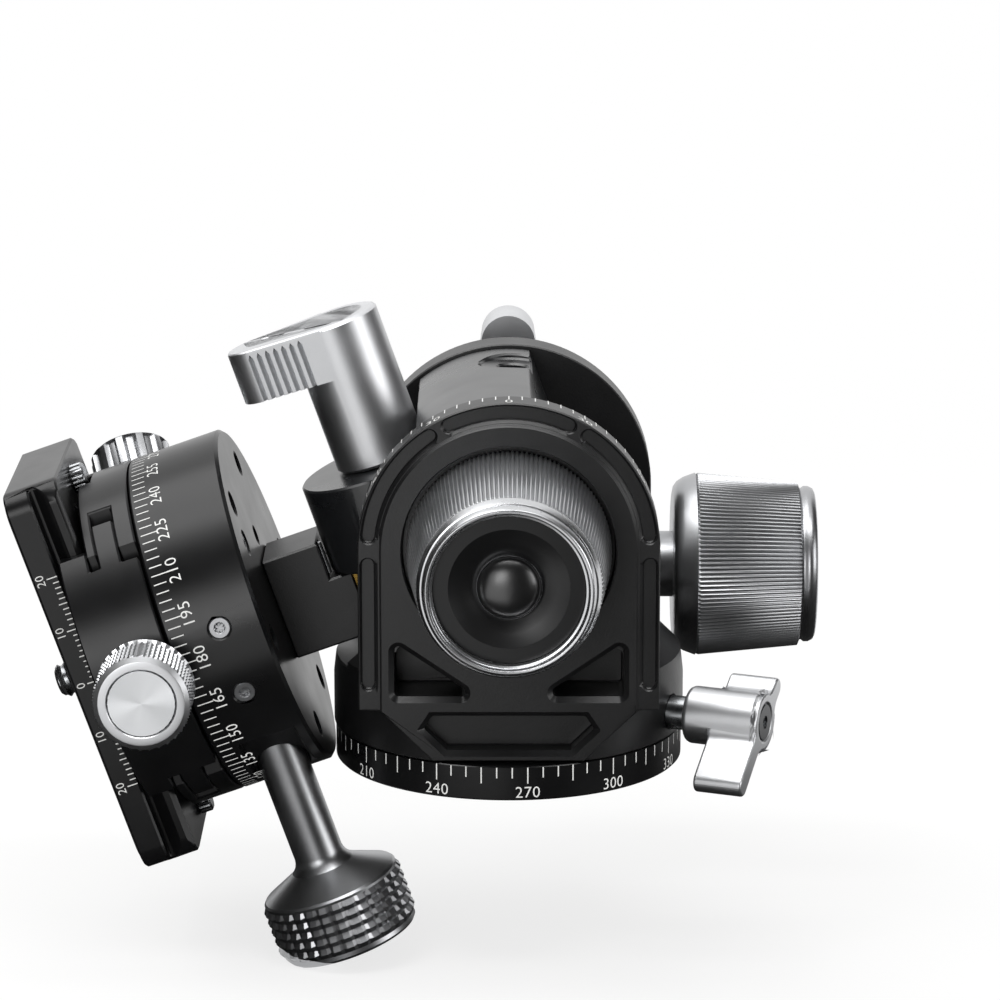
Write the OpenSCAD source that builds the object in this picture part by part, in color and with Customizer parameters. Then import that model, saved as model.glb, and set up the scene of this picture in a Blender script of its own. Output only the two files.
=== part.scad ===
// Geared tripod head: turning foot, two-plate yoke, tilting rotor with a
// second tilt arm, panning dial, sliding jaw and a dovetail camera plate.
// Origin: middle of the foot's underside, at the mouth of the tripod thread.
// +Z goes up through the foot, +X is the side of the large side knob, -Y is the front.

/* [Pose] */
// Side tilt of the rotor at rest, towards -X
tilt_rest = 109.5; // [100:0.1:109.6]
// Share of the small edge breaks
edge_break = 0.6; // [0.3:0.1:0.7]

/* [Foot] */
// Radius of the foot's dial ring
foot_r = 31; // [30:0.1:31.2]
// Height of the dial ring
foot_h = 6.1; // [5.6:0.1:6.2]
// Bevel under the dial ring
foot_bevel = 0.3; // [0.2:0.1:0.6]
// Radius of the turning spigot
spigot_r = 13; // [12.6:0.1:13.4]
// Height of the spigot's top
spigot_top = 14; // [13.8:0.1:14.2]
// Radius of the tripod thread
thread_r = 4.7625; // [4.7:0.0025:4.8]
// Outer radius of the thread bush
thread_bush_r = 8; // [7.6:0.1:8.4]

/* [Yoke] */
// Height of the side tilt axis
axis_z = 43.9; // [43.7:0.1:44.2]
// Radius of the yoke's round body
yoke_r = 31.3; // [31:0.1:31.6]
// Height of the yoke's shoulder line
shoulder_z = 15.3; // [15:0.1:15.8]
// Height of the yoke's body between the plates
body_top = 24.5; // [24:0.1:25]
// Front face of the front plate
front_y = -28.5; // [-28.8:0.1:-28.3]
// Rear face of the rear plate
rear_y = 29; // [28.8:0.1:29.2]
// Inner face of the front plate
front_in_y = -22; // [-22.1:0.1:-21.9]
// Inner face of the rear plate
rear_in_y = 22.3; // [22.2:0.1:22.4]
// Arch radius of both plates
arch_r = 26.1; // [26:0.1:26.4]
// Half width of the raised inner face
face_r = 22.3; // [22:0.1:22.6]
// Depth of the rim step around the raised face
rim_step = 0.7; // [0.4:0.1:0.9]
// Depth of the rim pockets below the rim step
rim_pocket = 1.1; // [0.8:0.1:1.4]
// Radius of the counterbore behind the front knob
counter_r = 18.5; // [18.2:0.1:18.8]

/* [Rotor] */
// Radius of the rotor's round body
rotor_r = 25.5; // [25.2:0.1:25.6]
// Distance of the second tilt axis from the first
arm_axis = 17.7; // [17.7:0.1:17.7]
// Radius of the second axis housing
boss_r = 15.3; // [15.2:0.1:15.4]
// Upper end of the housing
boss_top = 17; // [16.8:0.1:17.1]
// Lower end of the housing
boss_low = -14; // [-14.1:0.1:-13.9]

/* [Gears] */
// Module of the side tilt gear
tilt_module = 0.8; // [0.8:0.1:0.8]
// Teeth of the side tilt gear
tilt_teeth = 30; // [30:1:30]
// Depth of the side worm behind the middle
worm_y = 26.5; // [26.5:0.1:26.5]
// Module of the front tilt gear
front_module = 0.9; // [0.9:0.1:0.9]
// Teeth of the front tilt gear
front_teeth = 28; // [28:1:28]
// Play between a tooth and its worm groove
gear_play = 0.34; // [0.3:0.01:0.4]

/* [Knobs] */
// Largest radius of the side knob
side_knob_r = 16.85; // [16.6:0.05:17]
// Outer end of the side knob
side_knob_end = 56.3; // [56:0.1:56.6]
// Back radius of the front knob
front_knob_r = 17.7; // [17.4:0.1:17.9]
// Front end of the front knob
front_knob_end = -56; // [-56.4:0.1:-55.6]
// Radius of the lock levers' hubs
lever_hub_r = 8.25; // [8.1:0.05:8.4]
// Radius of the clamp knob
clamp_knob_r = 8.5; // [8.3:0.1:8.7]
// Radius of the pan lock knob's head
pan_knob_r = 12.9; // [12.7:0.1:13.1]

/* [Pan head] */
// Radius of the pan base and the turntable
pan_r = 31; // [30.9:0.1:31.1]
// Underside of the pan base above the tilt axis
pan_low = 43.8; // [43.7:0.1:43.9]
// Seam between the pan base and the turntable
pan_seam = 60.6; // [60.5:0.1:60.7]
// Top of the turntable
table_top = 70; // [69.9:0.1:70.1]
// Top of the jaws
jaw_top = 75.1; // [75:0.1:75.2]
// Half width of the arm between rotor and pan base
arm_half = 7; // [6.8:0.1:7.1]

/* [Camera plate] */
// Length of the camera plate
plate_len = 72.2; // [71:0.1:72.6]
// Half width of the camera plate
plate_half = 19; // [19:0.1:19]
// Top of the camera plate above the tilt axis
plate_top = 80.9; // [80.6:0.1:81.2]
// Thickness of the plate's rubber pad
plate_pad_t = 0.3; // [0.2:0.1:0.4]
// Radius of the camera screw
camera_r = 3.175; // [3.1:0.005:3.2]

/* [Hidden] */
$fn = 96;

// Small shared sizes
fit = 0.06;
skin = 0.3;
over = 1;
seam = 0.3;
tuck = 0.02;

// Foot and pan bearing
pad_in_r = 17;
pad_out_r = 28.4;
pad_t = 1.2;
bush_top = 13.2;
washer_out_r = 22;
yoke_low = foot_h + seam;
retainer_t = 1.8;
retainer_r = 15.7;
retainer_in_r = 8.6;
retainer_pcd_r = 10.5;
retainer_count = 4;
small_screw_r = 1.05;
small_hole_r = 1.3;
small_head_r = 2;
small_head_h = 0.7;
small_socket_r = 0.9;
screw_depth = 5;
bearing_drop = 0.1;
bearing_z = spigot_top - bearing_drop;
cavity_r = 16.2;
cavity_top = 16.7;

// Yoke outline, plates and cuts
shoulder_mid_z = 19.6;
shoulder_mid_r = 30.8;
shoulder_top_r = 25.9;
plate_foot_half = 12.9;
plate_foot_z = 15.4;
bowl_gap = 0.7;
bowl_r = rotor_r + bowl_gap;
channel_z = 18.8;
channel_half = 11.6;
channel_wide_half = 16;
channel_wide_x = -24;
channel_in_x = -5;
channel_out_x = -33;
counter_floor = -26;
front_bush_r = 13;
journal_r = 11;
window_low = 17.9;
window_high = 26.9;
window_out = 19.9;
window_in = 7.6;
window_in_top = 19.6;
window_round = 0.8;
window_depth = 10.5;
tray_top = 14.4;
tray_half = 13.3;
tray_mid_half = 14.8;
tray_mid_z = 12.1;
tray_low = 8.2;
tray_low_half = 10.8;
tray_depth = 4.2;
rim_in_r = 23.1;
rim_out_r = 25.6;
slot_low = 19;
slot_high = 42.6;
rim_top_angle = 25;
rim_side_from = 34;
rim_side_to = 84;
bulge_r = 16.4;
bulge_y = 31.6;
cover_y = 33.4;
cover_screw_r = 14.7;
cover_screw_count = 3;
cover_first = -90;
gear_room_r = 13;
rear_journal_r = 6;
rear_bush_r = 8;

// Worm box and side shaft
tilt_gear_r = tilt_module * tilt_teeth / 2;
tilt_worm_r = 4.1;
worm_z = axis_z - tilt_gear_r - tilt_worm_r;
tilt_worm_ecc = 0.725;
tilt_worm_trim = 0.075;
tilt_worm_mid = tilt_worm_r - tilt_worm_trim;
worm_turns = 6;
worm_room_r = 5.05;
worm_room_x = 13.8;
worm_box_low_x = -19;
worm_box_high_x = 26;
worm_box_y = 33.2;
worm_box_low = 20.5;
worm_box_high = 35;
shaft_r = 3;
shaft_bush_r = 4;
bush_out_low_x = -17.8;
bush_out_high_x = 19;
side_shaft_end = 48;

// Wing knob that locks the foot
wing_angle = -22.6;
wing_z = 10.6;
wing_hub_r = 5.1;
wing_hub_in = 34.7;
wing_hub_out = 48.9;
wing_in = 40;
wing_stud_in = 17.6;
wing_fillet = 3;
wing_long_r = 1.9;
wing_short_r = 1.7;
wing_long_at = [-10.9, -8.6];
wing_short_at = [6.6, 4.6];
wing_disc_r = 3.3;
wing_disc_t = 0.9;
lock_pad_in = 13.2;
lock_pad_r = 2.9;

// Side knob outline along its axis
side_collar_r = 6.05;
side_collar_in = 26.3;
side_back_x = 30.2;
side_back_r = 14;
side_wide_x = 34.5;
side_knurl_end_x = 53.5;
side_knurl_end_r = 14.95;
side_face_r = 14;
side_cap_r = 10.5;
side_cap_t = 1.2;
side_bore_r = 3;

// Rear lever
rear_lever_in = 33.9;
rear_lever_len = 23.6;
rear_arm_t = 11;
rear_arm_tip = 26.5;
rear_stud_in = 25;
lever_tip_r = 5;
lever_slot_half = 1.7;
lever_slot_wall = 0.65;
lever_slot_tip = 3.9;
lever_socket_r = 5.5;
lever_socket_depth = 2.2;
lever_hole_r = 3.7;
lever_hole_depth = 6;
lever_bore_depth = 18;

// Rotor
rotor_gap = 0.5;
rotor_half = -front_in_y - rotor_gap;
rotor_flat = -12;
lever_clear_z = 8.8;
low_clear_z = 6;
rear_shoulder_r = 9;
gear_y = 24;
gear_w = 5;
front_spigot_y = -26.3;
rear_spigot_y = 33.3;
wheel_room_r = 13.5;
wheel_room_low = -11.3;
wheel_room_high = 4.6;
front_gear_r = front_module * front_teeth / 2;
front_worm_r = 5.1;
front_worm_ecc = 0.8;
front_room_r = 6.2;
front_room_y = 10.5;
knob_shaft_r = 5;
knob_bush_r = 6.5;
tail_r = 3;
tail_y = 16;
axle_r = 4;
axle_bush_r = 5.5;
axle_bush_top = 9;
boss_mouth = 1;
spot_angle = 111.3;
spot_y = 11;
spot_r = 6;
spot_depth = 24.4;
spot_hole_r = 2.6;
spot_hole_depth = 17;

// Front knob
knob_back_y = -26.4;
knob_mid_y = -30.5;
knob_rim_y = -52.4;
knob_rim_r = 15.65;
ring_r = 15.5;
ring_mid_r = 14.05;
dish_r = 12.85;
dish_in_r = 10.2;
dish_floor = -51;
dish_flat_y = -53.4;
dome_r = 5.3;
dome_h = 2.4;
dome_ring_r = 5.6;
knob_bore_end = -46;

// Tilt lever
tilt_lever_in = 17.2;
tilt_lever_len = 26.8;
tilt_arm_t = 9.5;
tilt_arm_tip = 19.5;
tilt_stud_in = 9.1;

// Arm and front gear
arm_low = -11;
arm_high = 7.7;
arm_mid = 0.8;
arm_root = 33.4;
barrel_r = 13.2;
barrel_end = -3.6;
nose_r = 8;
nose_end = 4.4;
wheel_half = 3.5;
wheel_gap_r = 13.45;
axle_low = -13.8;
axle_high = 8.9;
pin_r = 0.45;
pin_at = [-5, 33.15];
pin_low = 1.5;
pin_high = 7.4;

// Pan base
pan_floor = 48;
table_spigot_r = 20;
spindle_r = 3;
spindle_low = 44.6;
arm_screw_xs = [-8.2, 5];
arm_screw_y = 4.2;
arm_screw_r = 1.5;
arm_screw_low = 37;
arm_head_r = 2.5;
arm_head_low = 45.2;
lock_y = -15.7;
lock_z = 51.3;
lock_pocket_x = -18;
lock_pocket_half_z = 5.1;
lock_flat_turn = 225;
lock_flat_deep = 1.6;
lock_flat_end = 5.1;
lock_screw_r = 2.5;
lock_shoe_r = 2.4;
lock_shoe_in = -15.3;
lock_shoe_out = -17.1;
under_r = 25;
under_count = 6;
under_first = -33.5;
under_hole_r = 2.1;
under_hole_depth = 2.6;
under_screw_at = [13.9, -15.6];
under_open_at = [11.2, 0];
under_open_r = 1.6;
side_screw_angles = [8.3, -15.1];
side_screw_r = 1.85;
side_screw_depth = 2.2;
side_screw_sink = 0.25;
torx_r = 0.9;
washer_in_r = 3.2;
thrust_out_r = 12;
thrust_top = 49.9;

// Pan lock knob
stem_r = 4.4;
stem_in = -18.4;
stem_low = -43.5;
flare_x = [-45, -46.6, -49.2];
flare_r = [4.9, 7.2, 12.2];
head_in = -49.8;
head_out = -59.6;
head_end = -60.5;
lock_screw_in = -17.3;
lock_screw_out = -36;

// Turntable, jaw and clamp
table_low = 60.9;
table_spigot_low = 50;
jaw_low = 61.1;
prong_y = -21.9;
jaw_floor_y = -23.8;
tongue_y = -16.9;
tongue_slot_y = -14;
tongue_low = 64.2;
tongue_high = 68.2;
tongue_gap = 0.05;
jaw_lip_z = 73.1;
jaw_face_y = 19.05;
jaw_lip_y = 17.4;
jaw_half = 22.4;
jaw_round = 1.6;
clamp_z = 66.1;
clamp_screw_r = 2.5;
clamp_bore_end = -2;
clamp_screw_end = -3;
spring_r = 3.4;
spring_in_r = 2.65;
spring_end = -7;
spring_turns = 5;
guide_x = 15;
guide_r = 1.2;
guide_out = -26.4;
guide_in = -8;
guide_bore_end = -5;
knob_hub_r = 5.5;
knob_hub_gap = 0.35;
clamp_back_out = 4;
clamp_front_out = 15;
knob_hub_y = -pan_r - knob_hub_gap;
clamp_back_y = -pan_r - clamp_back_out;
clamp_front_y = -pan_r - clamp_front_out;
clamp_ring_r = 7.05;
clamp_disc_r = 5.8;
clamp_disc_t = 1.1;
clamp_disc_out = 0.15;
clamp_screw_past = 13;
clamp_screw_out = -pan_r - clamp_screw_past;
drag_angle = 42;
drag_z = 63.7;
drag_r = 7.35;
drag_gap = 0.4;
drag_out = 7;
drag_low = pan_r + drag_gap;
drag_high = pan_r + drag_out;
drag_stem_r = 1.3;
drag_stem_inside = 9;
drag_stem_outside = 4;
drag_stem_low = pan_r - drag_stem_inside;
drag_stem_high = pan_r + drag_stem_outside;

// Camera plate
plate_low = 71;
flange_half = 19;
flange_top = 73;
groove_half = 16.6;
groove_low = 75.4;
groove_high = 76.2;
plate_round = 4;
flange_bevel = 0.9;
slot_half_len = 12;
slot_half = 3.4;
recess_half = 7.3;
recess_top = 74.6;
head_r = 7;
head_low = 71.4;
head_gap = 0.1;
camera_x = -2.5;
camera_top = 86.6;
camera_neck_r = 2.5;
camera_low = 81.2;
coin_slot = 1.2;
coin_depth = 1.2;
stop_x = 31.6;
stop_r = 2.6;
stop_low = 68.4;
stop_slot_half = 3.3;
stop_slot_low = 67.9;
pad_inset = 1.2;

// Round bars along the three axes
module bar_x(r, x0, x1) { translate([x0, 0, 0]) rotate([0, 90, 0]) cylinder(r = r, h = x1 - x0); }
module bar_y(r, y0, y1) { translate([0, y0, 0]) rotate([-90, 0, 0]) cylinder(r = r, h = y1 - y0); }
module bar_z(r, z0, z1) { translate([0, 0, z0]) cylinder(r = r, h = z1 - z0); }
module ring_x(r1, r0, x0, x1) { difference() { bar_x(r1, x0, x1); bar_x(r0, x0 - over, x1 + over); } }
module ring_y(r1, r0, y0, y1) { difference() { bar_y(r1, y0, y1); bar_y(r0, y0 - over, y1 + over); } }
module ring_z(r1, r0, z0, z1) { difference() { bar_z(r1, z0, z1); bar_z(r0, z0 - over, z1 + over); } }
module block(x0, x1, y0, y1, z0, z1) { translate([x0, y0, z0]) cube([x1 - x0, y1 - y0, z1 - z0]); }

// A turned shape from [radius, height] points, with its axis along X or -Y
module turned_x(points) { rotate([0, 90, 0]) rotate_extrude() polygon(points); }
module turned_y(points) { rotate([90, 0, 0]) rotate_extrude() polygon(points); }

// The tilting frame: its origin is on the side tilt axis, its Z goes through the pan axis
module tilted() { translate([0, 0, axis_z]) rotate([0, -tilt_rest, 0]) children(); }
module on_side_axis() { translate([0, 0, axis_z]) children(); }
module on_arm_axis() { translate([0, 0, arm_axis]) children(); }
module on_side_worm() { translate([0, worm_y, worm_z]) children(); }
module on_wing() { rotate([0, 0, wing_angle]) translate([0, 0, wing_z]) children(); }
module on_pan_lock() { translate([0, lock_y, lock_z]) children(); }
module on_drag() { rotate(drag_angle) translate([0, 0, drag_z]) children(); }
module on_clamp() { translate([0, 0, clamp_z]) children(); }

// A worm along Z: an off-centre round, twisted, gives a smooth right-hand thread
module worm(mid_r, ecc, lead, turns, start) {
    linear_extrude(height = lead * turns, center = true, twist = -360 * turns, slices = 12 * turns, $fn = 24)
        rotate(start) translate([ecc, 0]) circle(r = mid_r);
}

// A gear along Z with slanted teeth; one tooth points along its local X
module worm_gear(teeth, mod, bore_r, width, lean, tip, root) {
    pitch_r = teeth * mod / 2;
    half_tooth = PI * mod / 4 - gear_play / 2;
    flare = tan(28);
    tip_half = half_tooth - tip * flare;
    root_half = half_tooth + root * flare;
    tip_r = pitch_r + tip;
    root_r = pitch_r - root;
    outline = [for (i = [0:teeth - 1], s = [[root_r, -root_half], [tip_r, -tip_half],
        [tip_r, tip_half], [root_r, root_half]])
        let (a = i * 360 / teeth + s[1] / pitch_r * 180 / PI) s[0] * [cos(a), sin(a)]];
    difference() {
        rotate(-lean * width / 2)
            linear_extrude(height = width, twist = -lean * width, slices = 4) polygon(outline);
        translate([0, 0, -over]) cylinder(r = bore_r, h = width + 2 * over);
    }
}

// A lock lever along Z with its thumb arm along X, which narrows to a round tip and has a slot
module elbow_lever(len, arm_t, tip) {
    centre = tip - lever_tip_r;
    lean = asin((lever_hub_r - lever_tip_r) / centre);
    hub = lever_hub_r - tuck;
    end = lever_tip_r - tuck;
    slot_from = lever_hub_r + lever_slot_wall + lever_slot_half;
    slot_to = tip - lever_slot_tip - lever_slot_half;
    difference() {
        union() {
            rotate_extrude() polygon([[0, 0], [lever_hub_r - edge_break, 0], [lever_hub_r, edge_break],
                [lever_hub_r, len - edge_break], [lever_hub_r - edge_break, len], [0, len]]);
            translate([0, 0, len - arm_t]) linear_extrude(arm_t) polygon([
                hub * [sin(lean), cos(lean)], [centre, 0] + end * [sin(lean), cos(lean)],
                [centre, 0] + end * [sin(lean), -cos(lean)], hub * [sin(lean), -cos(lean)]]);
            translate([centre, 0, len - arm_t]) cylinder(r = lever_tip_r, h = arm_t);
        }
        translate([slot_from, -lever_slot_half, len - arm_t - over])
            cube([slot_to - slot_from, 2 * lever_slot_half, arm_t + 2 * over]);
        for (s = [slot_from, slot_to]) translate([s, 0, len - arm_t - over])
            cylinder(r = lever_slot_half + tuck, h = arm_t + 2 * over);
        translate([0, 0, -over]) cylinder(r = shaft_r, h = lever_bore_depth + over);
        translate([0, 0, len - lever_hole_depth]) cylinder(r = lever_hole_r, h = lever_hole_depth + over);
        translate([0, 0, len - lever_socket_depth])
            cylinder(r1 = lever_hole_r, r2 = lever_socket_r, h = lever_socket_depth + skin / 10);
    }
}

// Plate outline in front view, with its arch around the side tilt axis
module plate_outline(half, low_half) {
    slant = half - low_half;
    union() {
        polygon([[-low_half, yoke_low], [low_half, yoke_low], [face_r, plate_foot_z],
            [half, plate_foot_z], [half, axis_z], [-half, axis_z], [-half, plate_foot_z],
            [-face_r, plate_foot_z]]);
        translate([0, axis_z]) circle(r = half);
    }
}

module front_shape(y0, y1) { translate([0, y1, 0]) rotate([90, 0, 0]) linear_extrude(y1 - y0) children(); }

// One curved rim pocket with round ends, between two angles from the top
module rim_arc(from, to) {
    mid = (rim_in_r + rim_out_r) / 2;
    end = (rim_out_r - rim_in_r) / 2;
    translate([0, axis_z]) {
        intersection() {
            difference() {
                circle(r = rim_out_r);
                circle(r = rim_in_r);
            }
            polygon([[0, 0], for (a = [from, (from + to) / 2, to]) 2 * arch_r * [sin(a), cos(a)]]);
        }
        for (a = [from, to]) translate(mid * [sin(a), cos(a)]) circle(r = end - fit / 2);
    }
}

module rim_pockets() {
    end = (rim_out_r - rim_in_r) / 2;
    mid = (rim_in_r + rim_out_r) / 2;
    rim_arc(-rim_top_angle, rim_top_angle);
    for (s = [-1, 1]) {
        rim_arc(min(s * rim_side_from, s * rim_side_to), max(s * rim_side_from, s * rim_side_to));
        translate([s * mid, slot_low + end]) circle(r = end - fit / 2);
        translate([s * mid, slot_high - end]) circle(r = end - fit / 2);
        translate([s * mid - end, slot_low + end]) square([2 * end, slot_high - slot_low - 2 * end]);
    }
}

module window() {
    hull() for (p = [[window_out, window_low], [window_in, window_low],
        [window_in, window_in_top], [window_out, window_high]])
        translate(p + window_round * [p[0] == window_in ? 1 : -1, p[1] == window_low ? 1 : -1])
            circle(r = window_round, $fn = 32);
}

module base_disc() color([0.09, 0.09, 0.1]) difference() {
    union() {
        rotate_extrude() polygon([[0, 0], [foot_r - foot_bevel, 0], [foot_r, foot_bevel],
            [foot_r, foot_h], [0, foot_h]]);
        bar_z(spigot_r, foot_h - over, spigot_top);
    }
    bar_z(thread_bush_r, -over, spigot_top + over);
    ring_z(pad_out_r, pad_in_r, -over, pad_t);
    for (i = [0:retainer_count - 1]) rotate(i * 360 / retainer_count) translate([retainer_pcd_r, 0, 0])
        bar_z(small_screw_r, spigot_top - screw_depth, spigot_top + over);
}

module base_pad() color([0.13, 0.13, 0.13]) ring_z(pad_out_r, pad_in_r, 0, pad_t);

module thread_bush() color([0.7, 0.7, 0.72]) ring_z(thread_bush_r, thread_r, 0, bush_top);

module pan_washer() color([0.85, 0.84, 0.8]) ring_z(washer_out_r, spigot_r + fit, foot_h, foot_h + seam);

module pan_retainer() color([0.6, 0.6, 0.62]) difference() {
    ring_z(retainer_r, retainer_in_r, spigot_top, spigot_top + retainer_t);
    for (i = [0:retainer_count - 1]) rotate(i * 360 / retainer_count) translate([retainer_pcd_r, 0, 0])
        bar_z(small_hole_r, spigot_top - over, spigot_top + retainer_t + over);
}

// A small cap screw along Z: its head sits on height z
module cap_screw(z, depth) {
    difference() {
        union() {
            bar_z(small_screw_r, z - depth, z);
            bar_z(small_head_r, z, z + small_head_h);
        }
        translate([0, 0, z + small_head_h / 2]) cylinder(r = small_socket_r, h = over, $fn = 6);
    }
}

module retainer_screws() color([0.5, 0.5, 0.52])
    for (i = [0:retainer_count - 1]) rotate(i * 360 / retainer_count) translate([retainer_pcd_r, 0, 0])
        cap_screw(spigot_top + retainer_t, retainer_t + screw_depth);

module yoke_solid() {
    intersection() {
        rotate_extrude() polygon([[0, yoke_low], [yoke_r, yoke_low], [yoke_r, shoulder_z],
            [shoulder_mid_r, shoulder_mid_z], [shoulder_top_r, body_top], [0, body_top]]);
        block(-yoke_r - over, yoke_r + over, front_y, rear_y, 0, body_top + over);
    }
    front_shape(front_y, front_in_y) plate_outline(arch_r, plate_foot_half);
    front_shape(rear_in_y, rear_y) plate_outline(arch_r, plate_foot_half);
    on_side_axis() bar_y(bulge_r, rear_y - over, bulge_y);
    difference() {
        block(worm_box_low_x, worm_box_high_x, rear_in_y, worm_box_y, worm_box_low, worm_box_high);
        on_side_axis() bar_y(bulge_r + skin, bulge_y, worm_box_y + over);
    }
}

module yoke() color([0.1, 0.1, 0.11]) difference() {
    yoke_solid();
    // the bowl in which the rotor turns, and the way for the arm on the left
    on_side_axis() bar_y(bowl_r, front_in_y, rear_in_y);
    block(channel_out_x, channel_in_x, -channel_half, channel_half, channel_z, body_top + over);
    block(channel_wide_x, channel_in_x, -channel_wide_half, channel_wide_half, channel_z, body_top + over);
    // the pan bearing
    bar_z(spigot_r + fit, yoke_low - over, bearing_z + skin);
    bar_z(cavity_r, bearing_z, cavity_top);
    on_wing() bar_x(shaft_r + fit, spigot_r - over, yoke_r + over);
    // front plate: counterbore, bush seat, rim step, pockets, windows and tray
    on_side_axis() bar_y(counter_r, front_y - over, counter_floor);
    on_side_axis() bar_y(front_bush_r, counter_floor - over, front_in_y + over);
    front_shape(front_y - over, front_y + rim_step) difference() {
        plate_outline(arch_r + over, plate_foot_half + over);
        plate_outline(face_r, plate_foot_half);
        translate([-arch_r, 0]) square([2 * arch_r, plate_foot_z]);
    }
    front_shape(front_y - over, front_y + rim_step + rim_pocket) rim_pockets();
    for (s = [0, 1]) mirror([s, 0, 0]) front_shape(front_y - over, front_y + window_depth) window();
    front_shape(front_y - over, front_y + tray_depth)
        polygon([[-tray_half, tray_top], [tray_half, tray_top], [tray_mid_half, tray_mid_z],
            [tray_low_half, tray_low], [-tray_low_half, tray_low], [-tray_mid_half, tray_mid_z]]);
    // rear plate: gear room and the worm's bores
    on_side_axis() bar_y(gear_room_r, rear_in_y - over, bulge_y + over);
    on_side_worm() bar_x(worm_room_r, -worm_room_x, worm_room_x);
    on_side_worm() bar_x(shaft_bush_r, bush_out_low_x, bush_out_high_x);
    on_side_worm() bar_x(shaft_r + 2 * fit, bush_out_high_x - over, worm_box_high_x + over);
    for (i = [0:cover_screw_count - 1]) on_side_axis() rotate([0, cover_first + i * 360 / cover_screw_count, 0])
        translate([cover_screw_r, 0, 0]) bar_y(small_screw_r, bulge_y - screw_depth, bulge_y + over);
}

module front_bush() color([0.72, 0.55, 0.3]) on_side_axis()
    ring_y(front_bush_r, journal_r + fit, counter_floor, front_in_y);

module worm_bushes() color([0.72, 0.55, 0.3]) on_side_worm() {
    ring_x(shaft_bush_r, shaft_r + fit, bush_out_low_x, -worm_room_x);
    ring_x(shaft_bush_r, shaft_r + fit, worm_room_x, bush_out_high_x);
}

module rear_cover() color([0.1, 0.1, 0.11]) on_side_axis() difference() {
    bar_y(bulge_r, bulge_y, cover_y);
    bar_y(rear_bush_r, bulge_y - over, cover_y + over);
    for (i = [0:cover_screw_count - 1]) rotate([0, cover_first + i * 360 / cover_screw_count, 0])
        translate([cover_screw_r, 0, 0]) bar_y(small_hole_r, bulge_y - over, cover_y + over);
}

module cover_screws() color([0.5, 0.5, 0.52]) on_side_axis()
    for (i = [0:cover_screw_count - 1]) rotate([0, cover_first + i * 360 / cover_screw_count, 0])
        translate([cover_screw_r, 0, 0]) rotate([-90, 0, 0])
            cap_screw(cover_y, cover_y - bulge_y + screw_depth);

module rear_bush() color([0.72, 0.55, 0.3]) on_side_axis()
    ring_y(rear_bush_r, rear_journal_r + fit, bulge_y, cover_y);

module lock_pad() color([0.78, 0.62, 0.3]) on_wing()
    bar_x(lock_pad_r, lock_pad_in, wing_stud_in - fit);

// The two wings and their rounded roots, in Y and Z
module wing_outline() {
    offset(r = -wing_fillet, $fn = 64) offset(r = wing_fillet, $fn = 64) union() {
        circle(r = wing_hub_r - tuck, $fn = 64);
        for (tip = [[wing_long_at, wing_long_r], [wing_short_at, wing_short_r]]) hull() {
            circle(r = wing_short_r, $fn = 32);
            translate(tip[0]) circle(r = tip[1], $fn = 32);
        }
    }
}

module base_knob() color([0.8, 0.81, 0.83]) on_wing() difference() {
    union() {
        turned_x([[0, wing_hub_in], [wing_hub_r - edge_break, wing_hub_in],
            [wing_hub_r, wing_hub_in + edge_break], [wing_hub_r, wing_hub_out - edge_break],
            [wing_hub_r - edge_break, wing_hub_out], [0, wing_hub_out]]);
        translate([wing_in, 0, 0]) rotate([90, 0, 90]) linear_extrude(wing_hub_out - wing_in) wing_outline();
    }
    bar_x(shaft_r, wing_hub_in - over, wing_hub_out - wing_disc_t);
    bar_x(wing_disc_r, wing_hub_out - wing_disc_t, wing_hub_out + over);
}

module base_knob_stud() color([0.6, 0.6, 0.62]) on_wing() difference() {
    union() {
        bar_x(shaft_r, wing_stud_in, wing_hub_out - wing_disc_t);
        bar_x(wing_disc_r, wing_hub_out - wing_disc_t, wing_hub_out - skin);
    }
    translate([wing_hub_out - 2 * skin, 0, 0]) rotate([0, 90, 0]) cylinder(r = small_socket_r, h = over, $fn = 6);
}

module side_knob() color([0.45, 0.45, 0.47]) on_side_worm() difference() {
    turned_x([[0, side_collar_in], [side_collar_r, side_collar_in], [side_collar_r, side_back_x],
        [side_back_r, side_back_x], [side_knob_r, side_wide_x], [side_knurl_end_r, side_knurl_end_x],
        [side_face_r, side_knurl_end_x + edge_break], [side_face_r, side_knob_end - edge_break],
        [side_face_r - edge_break, side_knob_end], [0, side_knob_end]]);
    bar_x(side_bore_r, side_collar_in - over, side_shaft_end);
    bar_x(side_cap_r, side_knob_end - side_cap_t, side_knob_end + over);
}

module side_knob_cap() color([0.12, 0.12, 0.13]) on_side_worm()
    bar_x(side_cap_r, side_knob_end - side_cap_t, side_knob_end - skin);

module side_worm() color([0.62, 0.62, 0.64]) on_side_worm() {
    bar_x(shaft_r, bush_out_low_x, side_shaft_end);
    rotate([0, 90, 0]) worm(tilt_worm_mid, tilt_worm_ecc, PI * tilt_module, worm_turns, 0);
}

module rear_lever() color([0.75, 0.76, 0.78]) on_side_axis() translate([0, rear_lever_in, 0])
    rotate([-90, 0, 0]) rotate(-90) elbow_lever(rear_lever_len, rear_arm_t, rear_arm_tip);

module rear_lever_stud() color([0.6, 0.6, 0.62]) on_side_axis()
    bar_y(shaft_r, rear_stud_in, rear_lever_in + lever_bore_depth);

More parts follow.
